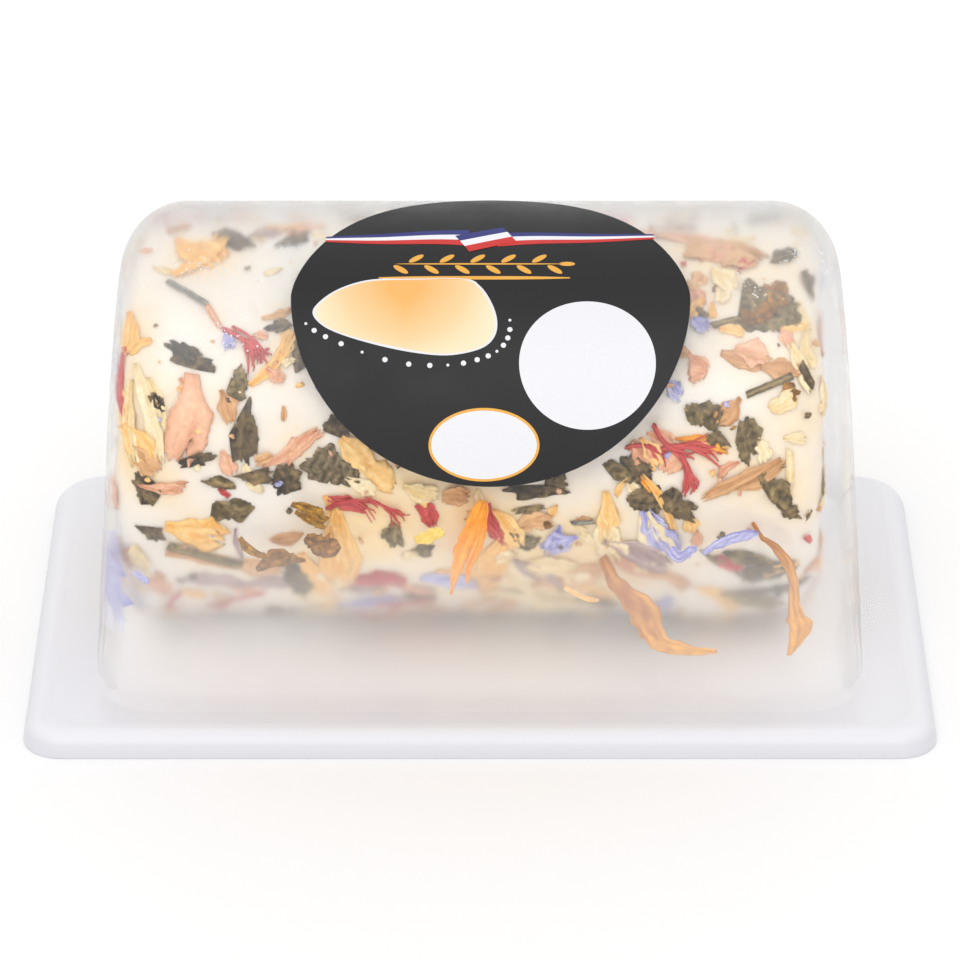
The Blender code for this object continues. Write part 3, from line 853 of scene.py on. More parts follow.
# Colours of the dried things, linear: a deep and a pale one for each
TONES = {
    "dark": ((0.026, 0.017, 0.007), (0.235, 0.155, 0.066)),
    "olive": ((0.075, 0.048, 0.013), (0.34, 0.245, 0.105)),
    "striped": ((0.050, 0.034, 0.013), (0.26, 0.19, 0.098)),
    "gold": ((0.20, 0.085, 0.0), (0.60, 0.30, 0.005)),
    "brown": ((0.16, 0.058, 0.0), (0.44, 0.19, 0.012)),
    "grey": ((0.09, 0.085, 0.075), (0.33, 0.32, 0.29)),
    "amber": ((0.91, 0.43, 0.07), (0.99, 0.69, 0.29)),
    "orange": ((0.94, 0.27, 0.0), (1.0, 0.50, 0.03)),
    "tan": ((0.52, 0.22, 0.065), (0.84, 0.51, 0.25)),
    "honey": ((0.44, 0.13, 0.002), (0.97, 0.45, 0.03)),
    "straw": ((0.84, 0.60, 0.25), (0.97, 0.85, 0.58)),
    "salmon": ((0.66, 0.26, 0.125), (0.92, 0.54, 0.34)),
    "mauve": ((0.30, 0.18, 0.165), (0.66, 0.50, 0.47)),
    "violet": ((0.22, 0.21, 0.58), (0.68, 0.67, 0.89)),
    "yellow": ((0.90, 0.58, 0.06), (0.98, 0.78, 0.22)),
    "red": ((0.44, 0.016, 0.025), (0.76, 0.12, 0.10)),
}
LEAFY = ("dark", "olive", "striped", "gold", "brown", "grey")

# The dried things that show most, gathered by shape and colour. The ends of most were
# read off the photo by eye, a scratch script turned them into places on the log, and
# many rows were then changed by hand; the rest were placed by hand. Each row gives
# millimetres along the skin from the log's middle, degrees round it from the top
# towards the front, length, width, and heading in degrees from the log's length
SHOWN = {
    ("leaf", "dark"): (
        (-28.5, 3, 6, 3.2, 30), (-21.5, 3, 4.5, 2.6, -50), (-32.5, 47, 5.6, 2.4, 32),
        (-36.3, 60, 2.3, 1.5, 47), (-27, 69, 6.9, 3.2, 92), (-32, 76, 4, 1.8, -20),
        (-38, 85, 4.2, 1.6, 70), (-22.7, 37, 2.6, 1.7, -12), (-20.5, 47, 4.3, 2, 73),
        (-16.2, 67, 3, 2.3, 4), (-25.7, 81, 3.8, 2, -8), (-22.1, 82, 4.2, 3.3, 44),
        (-37.3, 99, 3, 1.7, 34), (35, 11, 4, 2.4, -38), (37.8, 19, 3.8, 1.7, 68), (25.2, 33, 1.4, 1.1, 10),
        (27.1, 70, 2.8, 1.7, 34), (17.2, 78, 3.2, 2.4, 4), (18.5, 86, 3.5, 2.2, -8),
        (22.3, 89, 5.6, 3, 44), (35, 91, 2.8, 1.5, 42), (6.8, 85, 6.2, 2, 2), (33.6, 113, 8.3, 2.6, -31),
        (4.9, 102, 4.2, 2.2, 42), (8.3, 83, 3, 1.9, -14), (-20.3, 118, 3.8, 2.3, 40),
        (-37.6, 85, 4, 1.9, 57), (18.6, 88, 4.3, 3, 31), (18.4, 80, 2.7, 2.1, -43),
        (22.1, 90, 4.3, 2.3, 36), (35.1, 124, 4.2, 1.9, -37), (-21.4, 116, 5.2, 2, 74),
        (-20.7, 120, 5, 2.2, 82),
    ),
    ("petal", "amber"): (
        (-32, 10, 9.5, 2.4, -50), (-22.5, -5, 4.5, 1.6, 10), (-40, 38, 5.5, 2, 90),
        (-23.5, 47, 8, 1.3, -50), (-21.5, 43, 4, 1.6, -80), (-16.3, 106, 12, 2.6, 91),
        (-32.3, 98, 7.2, 2.8, 9), (28.6, 39, 3, 1.2, 10), (20, 89, 9.6, 0.8, 60), (14.2, 93, 5.4, 1.7, 87),
        (3, 98, 6, 2.4, 60), (14.3, 94, 7, 2.3, 89), (1.9, 113, 14, 3, 104), (-32.2, 99, 7, 3.7, 17),
        (-16.6, 106, 15.3, 3, 83), (-32.5, 9, 7.4, 3, 49), (-30.7, 9, 4.6, 1.9, 44),
        (35.8, 36, 4, 1.6, -22), (19.2, 74, 4.1, 2.1, 56), (-41.1, 61, 6.7, 1.4, 82),
        (-39.1, 72, 5.7, 2.6, 52), (-14, 74, 4.9, 2.8, 43), (-12, 81, 5.7, 2.6, 30),
        (34.4, 114, 5.5, 1.4, -37), (-1.5, 119, 8.6, 2.5, 35), (12.2, 125, 7.8, 2, 26),
        (-18.9, 118, 9.1, 2.5, 69),
    ),
    ("petal", "mauve"): (
        (-25, -2, 4.5, 1.6, -42), (22.5, -8, 6, 1, 5), (6.8, 116, 7.6, 0.9, 42), (18, 107, 9, 3, 28),
        (5.4, 114, 5.3, 0.7, 55), (-27.5, 104, 4.7, 0.6, 82), (-24.6, -1, 4, 2.3, -25),
        (-30.8, 121, 8, 2.3, 6), (-24.6, 121, 6.6, 2.3, -8), (-13.5, 125, 5.6, 2, 4),
    ),
    ("stem", "grey"): ((-33.3, 26, 5.8, 0.7, 36), (11.7, 95, 2.6, 0.6, -6),),
    ("stem", "salmon"): ((-30.3, 34, 3, 0.7, 61),),
    ("thread", "red"): (
        (-27, 44, 7, 0.8, 46), (-26.4, 43, 5.6, 0.5, 52), (-10.8, 91, 5.4, 0.5, 34),
        (-14.6, 91, 6, 0.5, 5), (1.6, 95, 5.1, 0.9, 74), (22.3, 69, 6.8, 0.8, 24), (23.7, 74, 7.9, 0.9, 4),
        (22.7, 79, 6.1, 1, 70), (18.8, 75, 5.3, 0.8, 23),
    ),
    ("fringe", "violet"): (
        (-28.6, 42, 2.4, 1.3, 80), (-2.6, 120, 5.7, 2.3, 21), (25, 36, 3.4, 1.7, 45),
        (21.9, 56, 3, 1.6, 51), (8.5, 103, 3.4, 2.2, -11), (20, 98, 4.4, 1.8, 70), (20.5, 99, 7.6, 3, 61),
        (9.1, 103, 4.5, 2.6, 149), (8.4, 102, 4.6, 1.6, 107), (-3.4, 119, 7.3, 2.1, 20),
        (-12.9, 135, 7.7, 2.3, -18),
    ),
    ("petal", "red"): (
        (-40.5, 54, 8.5, 1.1, 91), (-29, 86, 1.8, 0.8, 40), (-15, 89, 4.8, 1.7, 18),
        (-5.9, 92, 3.3, 1.7, 74), (-11.8, 119, 6.5, 1.6, -7), (28.6, 112, 3.8, 1.6, 43),
        (2, 97, 5.2, 1, 68), (-6.2, 93, 3.6, 1.4, 52), (-10, 119, 3.9, 2, -26),
        (-12.3, 119, 6.7, 2.3, -18), (30.3, 16, 2.8, 1.2, -58),
    ),
    ("petal", "straw"): (
        (-37.5, 63, 12, 1.6, 75), (-39.2, 66, 10, 1.5, 86), (37.4, 44, 5, 1.6, 88),
        (20.3, 99, 6.6, 2.8, 60), (16.9, 106, 9, 3.5, 44), (15, 101, 7, 3, 70), (12.2, 119, 6.8, 3.3, 45),
        (8.5, 112, 6, 2.8, 10), (7.5, 128, 12.1, 2.1, 42), (37, 33, 4.1, 2.1, 72),
        (36.3, 50, 6.2, 1.6, 67), (34.2, 59, 3.6, 2.3, -34), (-36.9, 61, 6.8, 1.6, 77),
        (-25.7, 82, 4.1, 1.4, 61), (-6.6, 85, 4.2, 2.1, 13), (16.2, 127, 6.4, 1.9, 43),
        (5, 129, 8.9, 2, 15),
    ),
    ("petal", "salmon"): (
        (-33.5, 64, 10, 4.2, 100), (-35.8, 83, 5.6, 1.1, -2), (-19.8, 72, 5.8, 1.5, -46),
        (24, 4, 8, 3, 20), (24.5, 28, 3, 2, 51), (24.7, 48, 3.2, 1.7, 44), (20.5, 70, 3.5, 1.8, 20),
        (18, 112, 7.2, 1.9, 29), (-36.9, 123, 4.2, 2.3, 63), (-35.7, 84, 5, 1.2, 5),
        (-20.3, -4, 5.3, 2.6, -54), (27.4, 11, 5, 3, -22), (30.8, 46, 4.1, 2.8, 16),
        (24.3, 51, 2.5, 1.9, 64), (-28.6, 77, 3.1, 1.6, 69), (-21.9, 74, 6.4, 1.6, -32),
        (-7.6, 123, 6.3, 1.6, 37), (-27.2, 124, 4.7, 1.4, 31),
    ),
    ("leaf", "olive"): (
        (-27.5, 56, 4.2, 2.6, 103), (-29.1, 83, 3.8, 1.7, 22), (-28.4, 92, 5.3, 2.9, 12),
        (-9.7, 99, 3.9, 2.2, 87), (-6.3, 105, 1.9, 1, 9), (32, 30, 7.8, 5.4, 27), (25.1, 64, 5.4, 2.9, 22),
        (30, 70, 5.8, 3.1, 80), (33.2, 85, 4.4, 2.7, 46), (5.3, 91, 3.2, 1, -5), (5.2, 103, 3.3, 1.9, -33),
        (-6.2, 104, 2.5, 1.2, -7), (15.8, 80, 4.9, 1.6, 22), (27.5, 112, 6.1, 1.4, 39),
        (30.1, 109, 6.3, 2.1, 9),
    ),
    ("petal", "tan"): (
        (-28.7, 61, 4, 1.8, 72), (-38, 76, 4.4, 2.3, 40), (-23, 33, 3.8, 0.9, -19),
        (-2.7, 87, 3.2, 2.2, 0), (27.8, 8, 10.3, 3.2, 26), (30.2, 47, 6, 2.4, 12), (34.2, 50, 5, 2.2, 5),
        (29.4, 82, 10.5, 1.4, 153), (6.1, 96, 4.8, 2.1, -18), (10.3, 117, 9.4, 3, -22),
        (-0.2, 136, 6.3, 0.9, -43), (25.2, 10, 4.6, 3, -36), (29.6, 15, 4.2, 2.6, -19),
        (24.8, 22, 2.8, 2.1, -49), (31.3, 81, 8.1, 1.4, -24), (21.3, 119, 7.2, 1.6, 36),
        (-31.6, 110, 9, 1.9, 14), (-25.8, 113, 7, 2.1, 8),
    ),
    ("leaf", "striped"): ((-17, 79, 5.6, 4.7, 30),),
    ("leaf", "brown"): ((33.8, 27, 4, 2.6, 60), (35, 57, 2.6, 1.9, 40), (31.7, 33, 5.2, 2.8, -48),),
    ("stem", "olive"): ((27.9, 36, 3.4, 0.8, -13), (32.7, 55, 5.6, 0.8, -22), (-31.5, 108, 9, 1.2, 21),),
    ("stem", "dark"): ((36.8, 52, 2.9, 1, 62), (32.9, 124, 10.5, 0.6, -17),),
    ("petal", "orange"): ((25.6, 72, 5.4, 0.8, 10), (25.2, 72, 6.3, 1, 14), (19.5, 85, 4.2, 0.7, 48),),
    ("stem", "straw"): ((35.1, 78, 3.6, 0.9, 89),),
}


class Heap:
    """Thin flakes of one colour, gathered as arrays into one mesh."""

    def __init__(self, colour):
        self.colour = colour
        self.points = []
        self.faces = []
        self.tones = []

    def add_sheet(self, rows, columns, thickness, at):
        """A thin solid over a grid of shares, 0 to 1 lengthwise and -1 to 1 across.

        For each pair of shares, at gives the place and the tone, 0 deep to 1 pale.
        """
        middle = np.empty((rows, columns, 3))
        tones = []
        for row in range(rows):
            for column in range(columns):
                middle[row, column], tone = at(row / (rows - 1), 2.0 * column / (columns - 1) - 1.0)
                tones.append(mixed_tone(self.colour, tone))
        normal = np.cross(np.gradient(middle, axis=0), np.gradient(middle, axis=1))
        normal /= np.maximum(np.linalg.norm(normal, axis=2, keepdims=True), 1e-12)
        edge = np.ones((rows, columns, 1))
        edge[0] = edge[-1] = 0.4
        edge[:, 0] = edge[:, -1] = 0.4
        base, size = len(self.points), rows * columns
        for start, side in ((base, 0.5), (base + size, -0.5)):
            spots = middle + normal * thickness * side * edge
            self.points.extend(map(tuple, spots.reshape(-1, 3)))
            self.tones.extend(tones)
            for row in range(rows - 1):
                for column in range(columns - 1):
                    a = start + row * columns + column
                    b, c, d = a + 1, a + columns + 1, a + columns
                    self.faces.append((a, b, c, d) if side < 0 else (a, d, c, b))
        index = np.arange(base, base + size).reshape(rows, columns)
        rim = [*index[0], *index[1:, -1], *index[-1, -2::-1], *index[-2:0:-1, 0]]
        for a, b in zip(rim, rim[1:] + rim[:1]):
            self.faces.append((a, b, b + size, a + size))


def mixed_tone(colour, share):
    share = min(max(share, 0.0), 1.0)
    deep, pale = TONES[colour]
    return tuple(a * (1.0 - share) + b * share for a, b in zip(deep, pale)) + (1.0,)


def grain(*at):
    """Smooth noise, about -1 to 1."""
    return noise.noise(Vector(at))


def turned(ahead, aside, aim):
    """Steps ahead and aside of a heading, as steps along and across the log."""
    along = ahead * math.cos(aim) - aside * math.sin(aim)
    return along, ahead * math.sin(aim) + aside * math.cos(aim)


class Spot:
    """Where a flake lies: millimetres ahead and aside of its middle, over the cheese."""

    def __init__(self, along, turn, heading):
        self.along = along
        self.turn = math.radians(turn)
        self.aim = math.radians(heading)
        inset = log_profile(along * MM)[1]
        self.radius = max(LOG_HALF_WIDTH - inset, 5.0 * MM)

    def at(self, ahead, aside, lift):
        along, arc = turned(ahead, aside, self.aim)
        angle = self.turn + arc * MM / self.radius
        spot = log_point((self.along + along) * MM, angle, max(lift, LOWEST) * MM)
        return kept_inside(spot, CLEAR)


class EndSpot:
    """Where a flake lies on one of the log's ends: millimetres off the end's middle."""

    def __init__(self, side, across, up, heading):
        self.side = side
        self.across = across
        self.up = up
        self.aim = math.radians(heading)

    def at(self, ahead, aside, lift):
        across, up = turned(ahead, aside, self.aim)
        across, up = self.across + across, self.up + up
        flat = (LOG_HALF_WIDTH - LOG_END_ROUND) / MM
        curve = LOG_END_ROUND / MM
        past = min(max(math.hypot(across, up) - flat, 0.0), curve - 0.4)
        drop = curve - math.sqrt(curve * curve - past * past)
        end = LOG_RIGHT if self.side > 0 else LOG_LEFT
        x = end + self.side * (max(lift, LOWEST) - drop) * MM
        return kept_inside(Vector((x, LOG_Y + across * MM, LOG_Z + up * MM)), CLEAR)


def add_leaf(heap, spot, length, width, dice, steps=17):
    """A torn, crumpled bit of leaf: a disc with ragged and straight torn edges."""
    seed = dice.uniform(0.0, 100.0)
    tears = [(dice.uniform(0.0, math.tau), dice.uniform(0.6, 0.85)) for _ in range(dice.randint(1, 3))]
    rise = dice.uniform(0.12, 0.30)
    shade = dice.uniform(-0.16, 0.14)
    crumple = dice.uniform(0.16, 0.34)
    lean = dice.uniform(-0.10, 0.10)

    def reach(angle):
        way = Vector((math.cos(angle), math.sin(angle), seed))
        out = 1.05 + 0.55 * noise.noise(way * 1.3) + 0.34 * noise.noise(way * 3.4)
        out += 0.20 * noise.noise(way * 9.0)
        for at, limit in tears:
            facing = math.cos(angle - at)
            if facing > 0.2:
                out = min(out, limit / facing)
        return out

    def at(u, v):
        u = 2.0 * u - 1.0
        x, y = u * math.sqrt(1.0 - v * v / 2), v * math.sqrt(1.0 - u * u / 2)
        out = reach(math.atan2(y, x)) if x or y else 1.0
        ahead, aside = x * out * length / 2, y * out * width / 2
        fold = 1.0 - 4.5 * abs(grain(ahead * 0.42, aside * 0.55, seed))
        crease = 1.0 - 4.0 * abs(grain(ahead * 1.05, aside * 1.15, seed + 3.0))
        fine = grain(ahead * 2.1, aside * 2.1, seed + 5.0)
        lift = rise + crumple * (0.5 * fold + 0.32 * crease) + 0.08 * fine + lean * aside
        side_vein = max(math.cos(3.6 * ahead - 2.6 * abs(aside) + seed), 0.0) ** 10
        vein = side_vein + math.exp(-((aside / 0.14) ** 2))
        # Painted shade and light: the tone is darker down in the folds and creases and paler on their
        # ridges. The veins and fine mottle are the leaf's own colour.
        share = 0.31 + shade + 0.24 * fold + 0.22 * crease + 0.35 * fine + 0.18 * vein
        if heap.colour == "striped":
            share = 0.45 + 0.45 * math.sin(ahead * 7.0) + 0.3 * fine
        return spot.at(ahead, aside, lift), share

    heap.add_sheet(steps, steps, 0.10 * MM, at)


def add_petal(heap, spot, length, width, dice, teeth=3, notch=0.14, rows=18, columns=11):
    """A ray petal: narrow foot, grooved blade, toothed tip, curled and a little bent."""
    seed = dice.uniform(0.0, 100.0)
    bend = dice.uniform(-0.12, 0.12) * length
    curl = dice.uniform(-0.10, 0.28)
    rise = dice.uniform(0.10, 0.28)
    shade = dice.uniform(-0.20, 0.20)
    foot = dice.uniform(0.25, 0.5)

    def at(u, v):
        half = width / 2 * (foot + (1.1 - foot) * eased(u / 0.5)) * (1.0 - 0.3 * eased((u - 0.78) / 0.22))
        half *= 1.0 + 0.5 * grain(u * 3.0, seed, 1.0)
        tooth = abs(math.sin(teeth * math.pi * (v + 1.0) / 2 + 0.3 * math.sin(seed)))
        cut = notch * (1.2 - tooth + 0.8 * grain(v * 3.0, seed, 4.0))
        ahead = length * (u * (1.0 - cut * eased(u)) - 0.5)
        edge = 1.0 + 0.22 * grain(u * 9.0, seed, math.copysign(2.0, v))
        aside = bend * 4.0 * u * (1.0 - u) + half * v * edge
        lift = rise + curl * v * v * min(width, 3.0) / 2 + 0.05 * math.cos(v * math.pi * teeth)
        lift += 0.26 * grain(u * 2.2, v * 1.4, seed) + 0.12 * grain(u * 6.0, v * 3.0, seed + 3.0)
        share = 0.52 + shade + 0.75 * grain(u * 1.3, v * 5.5, seed)
        share += 0.30 * grain(u * 5.0, v * 5.0, seed + 9.0)
        share += 0.22 * (abs(v) - 0.4) - 0.18 * eased(1.0 - u / 0.3)
        return spot.at(ahead, aside, lift), share

    heap.add_sheet(rows, columns, 0.07 * MM, at)


def add_thread(heap, spot, length, width, dice):
    """A floret drawn out into a few thin strands from a shared foot."""
    strands = dice.choice((4, 5, 5, 6))
    seed = dice.uniform(0.0, 100.0)
    bend = dice.uniform(0.08, 0.24) * length * dice.choice((-1, 1))
    spread = dice.uniform(0.10, 0.26) * length
    rise = dice.uniform(0.15, 0.35)
    for strand in range(strands):
        fan = spread * (2.0 * strand / (strands - 1) - 1.0)
        reach = dice.uniform(0.75, 1.0)

        def at(u, v):
            apart = max(u - 0.35, 0.0) / 0.65
            half = width / 2 * (0.62 - 0.28 * apart) * (1.0 - 0.5 * u ** 8)
            wave = 0.7 * apart * grain(u * 4.0, seed + strand * 7.0, 1.0)
            middle = bend * 4.0 * u * (1.0 - u) + fan * apart ** 1.4 + wave
            lift = rise + 0.10 * (1.0 - abs(v)) + 0.25 * math.sin(math.pi * u)
            lift += 0.3 * grain(u * 3.0, seed, strand * 3.0)
            share = 0.45 + 0.8 * grain(u * 4.0, v + strand * 5.0, seed) + 0.25 * apart
            return spot.at(length * reach * (u - 0.5), middle + half * v, lift), share

        heap.add_sheet(20, 3, 0.16 * MM, at)


def add_stem(heap, spot, length, width, dice):
    """A flat bit of dried stalk with lines along it."""
    seed = dice.uniform(0.0, 100.0)
    slant = dice.uniform(-0.5, 0.5)
    rise = dice.uniform(0.15, 0.3)

    def at(u, v):
        u = 2.0 * u - 1.0
        rough = 1.0 + 0.25 * grain(u * 4.0, seed, math.copysign(2.0, v))
        lift = rise + 0.20 * (1.0 - v * v) + 0.08 * grain(u * 3.0, v, seed)
        share = 0.5 + 0.4 * math.cos(v * 6.0) + 0.5 * grain(u * 2.0, v * 3.0, seed)
        return spot.at(length / 2 * u + slant * v * width, width / 2 * v * rough, lift), share

    heap.add_sheet(10, 7, 0.22 * MM, at)


SHAPES = {
    "leaf": add_leaf,
    "bit": partial(add_leaf, steps=5),
    "petal": add_petal,
    "fringe": partial(add_petal, teeth=5, notch=0.34, rows=20, columns=21),
    "thread": add_thread,
    "stem": add_stem,
}


def add_flake(heaps, shape, colour, along, turn, length, width, heading, dice):
    SHAPES[shape](heaps[colour], Spot(along, turn, heading), length, width, dice)


def scatter(heaps, dice):
    """Dried things beyond the list: large round the back and ends, small all over."""
    kinds = (
        ("leaf", "dark", 4.6, 3.0), ("leaf", "olive", 5.0, 3.2), ("leaf", "dark", 3.6, 2.6),
        ("petal", "amber", 7.5, 2.6), ("petal", "salmon", 6.5, 2.8), ("petal", "straw", 7.0, 2.8),
        ("petal", "tan", 6.5, 2.2), ("fringe", "violet", 4.5, 2.2), ("thread", "red", 7.0, 0.6),
        ("leaf", "brown", 3.6, 2.4), ("petal", "orange", 6.5, 1.6), ("stem", "olive", 5.0, 0.8),
    )
    bands, places, on_ends, pale, crumbs = 13, 14, 44, 200, 380
    left, right, end_reach = -44.0, 41.0, 19.0
    under_front, over_back, whole_turn = 130.0, 346.0, 360.0
    for number in range(bands * places):
        band, place = divmod(number, places)
        along = left + (right - left) * (place + dice.uniform(0.1, 0.9)) / places
        turn = under_front + (over_back - under_front) * (band + dice.uniform(0.1, 0.9)) / bands
        shape, colour, length, width = dice.choice(kinds)
        grow = dice.uniform(0.75, 1.3)
        heading = dice.uniform(0.0, 180.0)
        add_flake(heaps, shape, colour, along, turn, length * grow, width * grow, heading, dice)
    for number in range(on_ends):
        shape, colour, length, width = dice.choice(kinds)
        out = end_reach * math.sqrt(dice.uniform(0.0, 1.0))
        turn = dice.uniform(0.0, math.tau)
        side = -1.0 if number % 2 else 1.0
        spot = EndSpot(side, out * math.cos(turn), out * math.sin(turn), dice.uniform(0.0, 180.0))
        grow = dice.uniform(0.7, 1.2)
        SHAPES[shape](heaps[colour], spot, length * grow, width * grow, dice)
    for number in range(pale):
        along = dice.uniform(left, right)
        turn = dice.uniform(-10.0, under_front) if number % 2 else dice.uniform(under_front, 350.0)
        colour = dice.choice(("straw", "straw", "amber", "salmon", "tan"))
        length = dice.uniform(1.6, 4.2)
        width = length * dice.uniform(0.3, 0.6)
        add_flake(heaps, "petal", colour, along, turn, length, width, dice.uniform(0.0, 180.0), dice)
    for _ in range(crumbs):
        along = dice.uniform(left - 2.0, right + 2.0)
        turn = dice.uniform(0.0, whole_turn)
        colour = dice.choice(("dark", "olive", "brown", "amber", "straw", "salmon", "violet", "red", "tan"))
        length = dice.uniform(0.4, 1.3)
        width = length * dice.uniform(0.4, 0.9)
        add_flake(heaps, "bit", colour, along, turn, length, width, dice.uniform(0.0, 180.0), dice)


# Petals and bits that lean on the lid's front wall, by points of their middle line in
# millimetres, X and Z, read off the photo as for the list above, with the width there;
# those marked True leave the cheese at their first point
ON_THE_WALL = (
    ("honey", True, ((13.9, 19.9, 1.3), (16.0, 17.9, 2.0), (18.2, 15.4, 3.5), (19.4, 13.0, 3.0),
                     (20.5, 11.4, 2.2), (22.3, 10.4, 1.9), (24.7, 10.1, 1.1), (27.1, 10.1, 0.4))),
    ("honey", True, ((30.8, 24.7, 0.5), (33.0, 23.6, 0.9), (34.9, 21.4, 1.1), (35.8, 18.6, 1.3),
                     (35.8, 15.8, 1.5), (36.6, 13.4, 3.2), (36.3, 11.4, 1.8), (35.3, 9.6, 0.5))),
    ("orange", False, ((0.3, 28.9, 0.9), (-0.3, 26.6, 2.0), (-1.2, 24.4, 2.3), (-2.1, 22.0, 1.7),
                       (-3.0, 19.0, 0.7), (-3.3, 17.2, 0.3))),
    ("orange", False, ((0.6, 28.6, 0.5), (0.4, 26.0, 1.0), (-0.3, 23.0, 1.1), (-1.4, 20.4, 0.8),
                       (-1.5, 18.6, 0.3))),
    ("violet", False, ((-42.6, 21.6, 1.2), (-42.5, 18.8, 2.6), (-42.4, 15.8, 3.2), (-42.0, 12.6, 1.8))),
    ("violet", False, ((-42.4, 17.6, 0.8), (-42.2, 15.2, 2.0), (-41.9, 12.4, 2.2), (-41.6, 9.6, 0.8))),
    ("violet", False, ((-40.6, 19.4, 0.8), (-39.4, 18.9, 1.0), (-38.2, 18.7, 0.5))),
    ("violet", False, ((25.3, 22.3, 0.5), (27.2, 23.6, 1.2), (29.4, 24.4, 1.4), (31.6, 24.8, 0.7))),
    ("gold", False, ((-21.3, 28.5, 0.8), (-19.8, 27.9, 1.6), (-18.4, 27.1, 1.7), (-17.4, 26.2, 0.9))),
    ("gold", False, ((-20.9, 27.4, 0.4), (-19.6, 26.6, 0.9), (-18.3, 25.9, 0.9), (-17.6, 25.4, 0.5))),
    ("brown", False, ((-19.8, 24.3, 0.9), (-18.4, 23.4, 2.8), (-17.0, 23.0, 2.8), (-16.0, 23.5, 1.2))),
    ("gold", False, ((-27.3, 24.2, 0.7), (-26.4, 22.9, 1.0), (-24.9, 22.0, 0.9), (-24.0, 21.5, 0.5))),
    ("brown", False, ((-25.4, 20.2, 0.5), (-23.9, 21.2, 1.9), (-22.6, 21.9, 2.4), (-21.2, 21.5, 1.2),
                      (-19.8, 21.4, 0.3))),
    ("yellow", False, ((-7.4, 23.8, 1.0), (-6.2, 24.2, 1.6), (-5.0, 24.7, 1.6), (-4.2, 25.1, 1.0))),
    ("violet", False, ((21.5, 22.9, 1.0), (22.6, 21.6, 1.3), (23.8, 22.6, 1.2), (24.6, 23.0, 0.6))),
    ("amber", False, ((9.6, 18.0, 0.4), (11.0, 17.2, 0.7), (12.4, 16.6, 0.6), (13.6, 16.5, 0.4))),
)


# Where the front wall starts to round into the lid's end, in millimetres, and how far
# back a petal lies there
WALL_STRAIGHT = 40.5
CORNER_BACK = 9.0 * MM


def hang_on_wall(heap, rooted, points, dice):
    """A thin petal along the lid's front wall, smoothly through its points."""
    rows = 7 * (len(points) - 1) + 1
    knots, shares = np.linspace(0.0, 1.0, len(points)), np.linspace(0.0, 1.0, rows)
    smooth = np.stack([np.interp(shares, knots, values) for values in zip(*points)], axis=1)
    for _ in range(4):
        smooth[1:-1] = (smooth[:-2] + 2.0 * smooth[1:-1] + smooth[2:]) / 4.0
    run = np.gradient(smooth[:, :2], axis=0)
    run /= np.linalg.norm(run, axis=1, keepdims=True)
    seed = dice.uniform(0.0, 100.0)

    def at(share, v):
        row = round(share * (rows - 1))
        x, z, width = smooth[row]
        sunk = max(1.0 - share * (len(points) - 1), 0.0) if rooted else 0.0
        depth = FOOT_HALF_DEPTH * (1.0 - sunk) + (LOG_HALF_WIDTH - LOG_Y - 0.4 * MM) * sunk
        rough = 1.0 + 0.45 * grain(share * 6.0, seed, math.copysign(3.0, v))
        rough += 0.25 * grain(share * 19.0, seed, math.copysign(6.0, v))
        aside = v * width / 2 * rough
        groove = (0.6 if rooted else 1.0) * math.cos(v * 7.0 + 2.0 * share + seed)
        back = 0.16 + 0.08 * groove + 0.30 * grain(share * 5.0, v * 1.6, seed)
        spot = Vector((x - run[row][1] * aside, 0.0, z + run[row][0] * aside)) * MM
        past_wall = min(max(abs(spot.x) / MM - WALL_STRAIGHT, 0.0), 1.0)
        spot.y = CORNER_BACK * past_wall - depth
        spot = kept_inside(spot, CLEAR)
        spot.y += max(back, 0.0) * MM
        tone = 0.42 + 0.26 * groove + 0.65 * grain(share * 3.0, v * 4.5, seed)
        tone += 0.55 * grain(share * 11.0, v * 9.0, seed + 4.0)
        return spot, tone + (0.7 * (share - 0.5) if rooted else 0.0)

    heap.add_sheet(rows, 9, 0.08 * MM, at)


# Where damp has gathered on the lid, in millimetres: along, round from the crest
# towards the front, how far it spreads each way, and the count of drops
DAMP = (
    (-31.0, 9.0, 7.0, 3.5, 260), (-29.5, 17.5, 3.5, 3.5, 120), (36.5, 7.0, 3.5, 3.0, 140),
    (30.0, 11.0, 5.0, 3.0, 70), (-22.0, 5.0, 3.0, 2.0, 60),
)


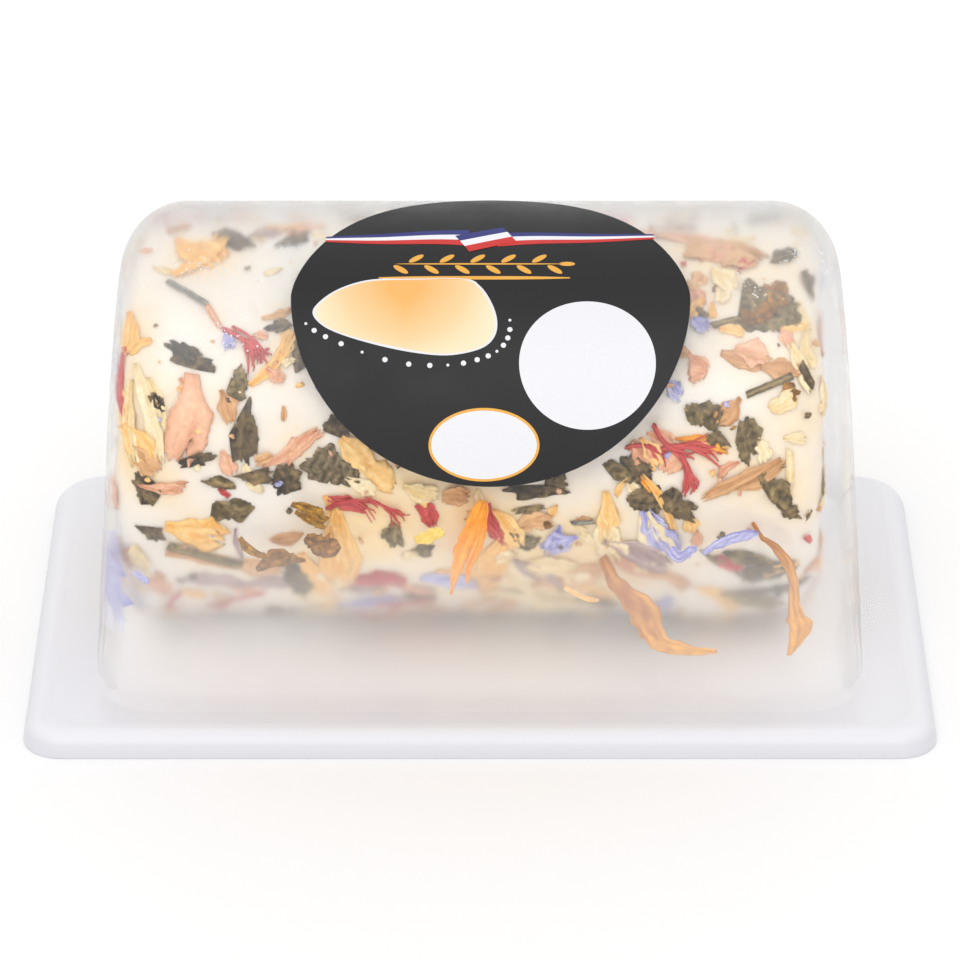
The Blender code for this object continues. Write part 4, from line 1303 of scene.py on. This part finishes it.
def make_dew():
    """Fine drops of condensation inside the lid, where it has fogged over the upper leaves."""
    finish = Finish("dew", (0.93, 0.93, 0.93), 0.15)
    cloud = finish.ramp(finish.noise(900.0, 2.0), (0.3, (0.86, 0.87, 0.88)), (0.7, (0.95, 0.95, 0.95)))
    finish.set("Base Color", cloud)
    dice = random.Random(SEED + 2)
    sides, levels, flatness, largest = 8, 3, 0.6, 0.14
    base = -LID_WALL - 0.02 * MM
    points, faces = [], []
    for x, arc, spread_x, spread_arc, count in DAMP:
        for _ in range(count):
            at = (dice.gauss(x, spread_x / 2) * MM, dice.gauss(arc, spread_arc / 2) * MM)
            size = min(dice.lognormvariate(-2.75, 0.4), largest) * MM
            start = len(points)
            for level in range(levels):
                tilt = math.pi / 2 * level / levels
                out = size * math.cos(tilt)
                for side in range(sides):
                    turn = math.tau * side / sides
                    here = (at[0] + out * math.cos(turn), at[1] + out * math.sin(turn))
                    points.append(on_arch(*here, base - flatness * size * math.sin(tilt)))
            points.append(on_arch(*at, base - flatness * size))
            faces.append(tuple(range(start, start + sides)))
            for side in range(sides):
                a, b = start + side, start + (side + 1) % sides
                for up in range(0, (levels - 1) * sides, sides):
                    faces.append((a + up, a + up + sides, b + up + sides, b + up))
                faces.append((a + up + sides, start + levels * sides, b + up + sides))
    keep(piece_from_arrays("dew", points, faces, finish))


def dried_finish(word):
    """Matt dried leaf or petal: its tone comes with the mesh, finely mottled."""
    leafy = word in LEAFY
    made = Finish("dried_" + word, TONES[word][1], 0.62 if leafy else 0.5)
    if leafy:
        stops = ((0.34, (0.35, 0.35, 0.35)), (0.66, (1.75, 1.70, 1.55)))
    else:
        stops = ((0.32, (0.85, 0.82, 0.8)), (0.68, (1.1, 1.1, 1.12)))
    speck = made.ramp(made.noise(1500.0, 5.0, 0.75), *stops)
    made.set("Base Color", made.mix(1.0, made.tone(), speck, "MULTIPLY"))
    made.bump(made.noise(1200.0, 4.0, 0.65), 0.6 if leafy else 0.3, 0.3 * MM)
    return made


def make_petals():
    """Every dried thing, gathered by colour, one piece for each."""
    dice = random.Random(SEED)
    heaps = {word: Heap(word) for word in TONES}
    for (shape, colour), rows in SHOWN.items():
        for row in rows:
            add_flake(heaps, shape, colour, *row, dice)
    for colour, rooted, points in ON_THE_WALL:
        hang_on_wall(heaps[colour], rooted, points, dice)
    scatter(heaps, dice)
    for word, heap in heaps.items():
        made = piece_from_arrays("dried_" + word, heap.points, heap.faces, dried_finish(word))
        paint(made, heap.tones)
        keep(made)


add_camera()
add_studio()
make_tray()
make_lid()
make_label()
make_cheese()
make_petals()
make_dew()
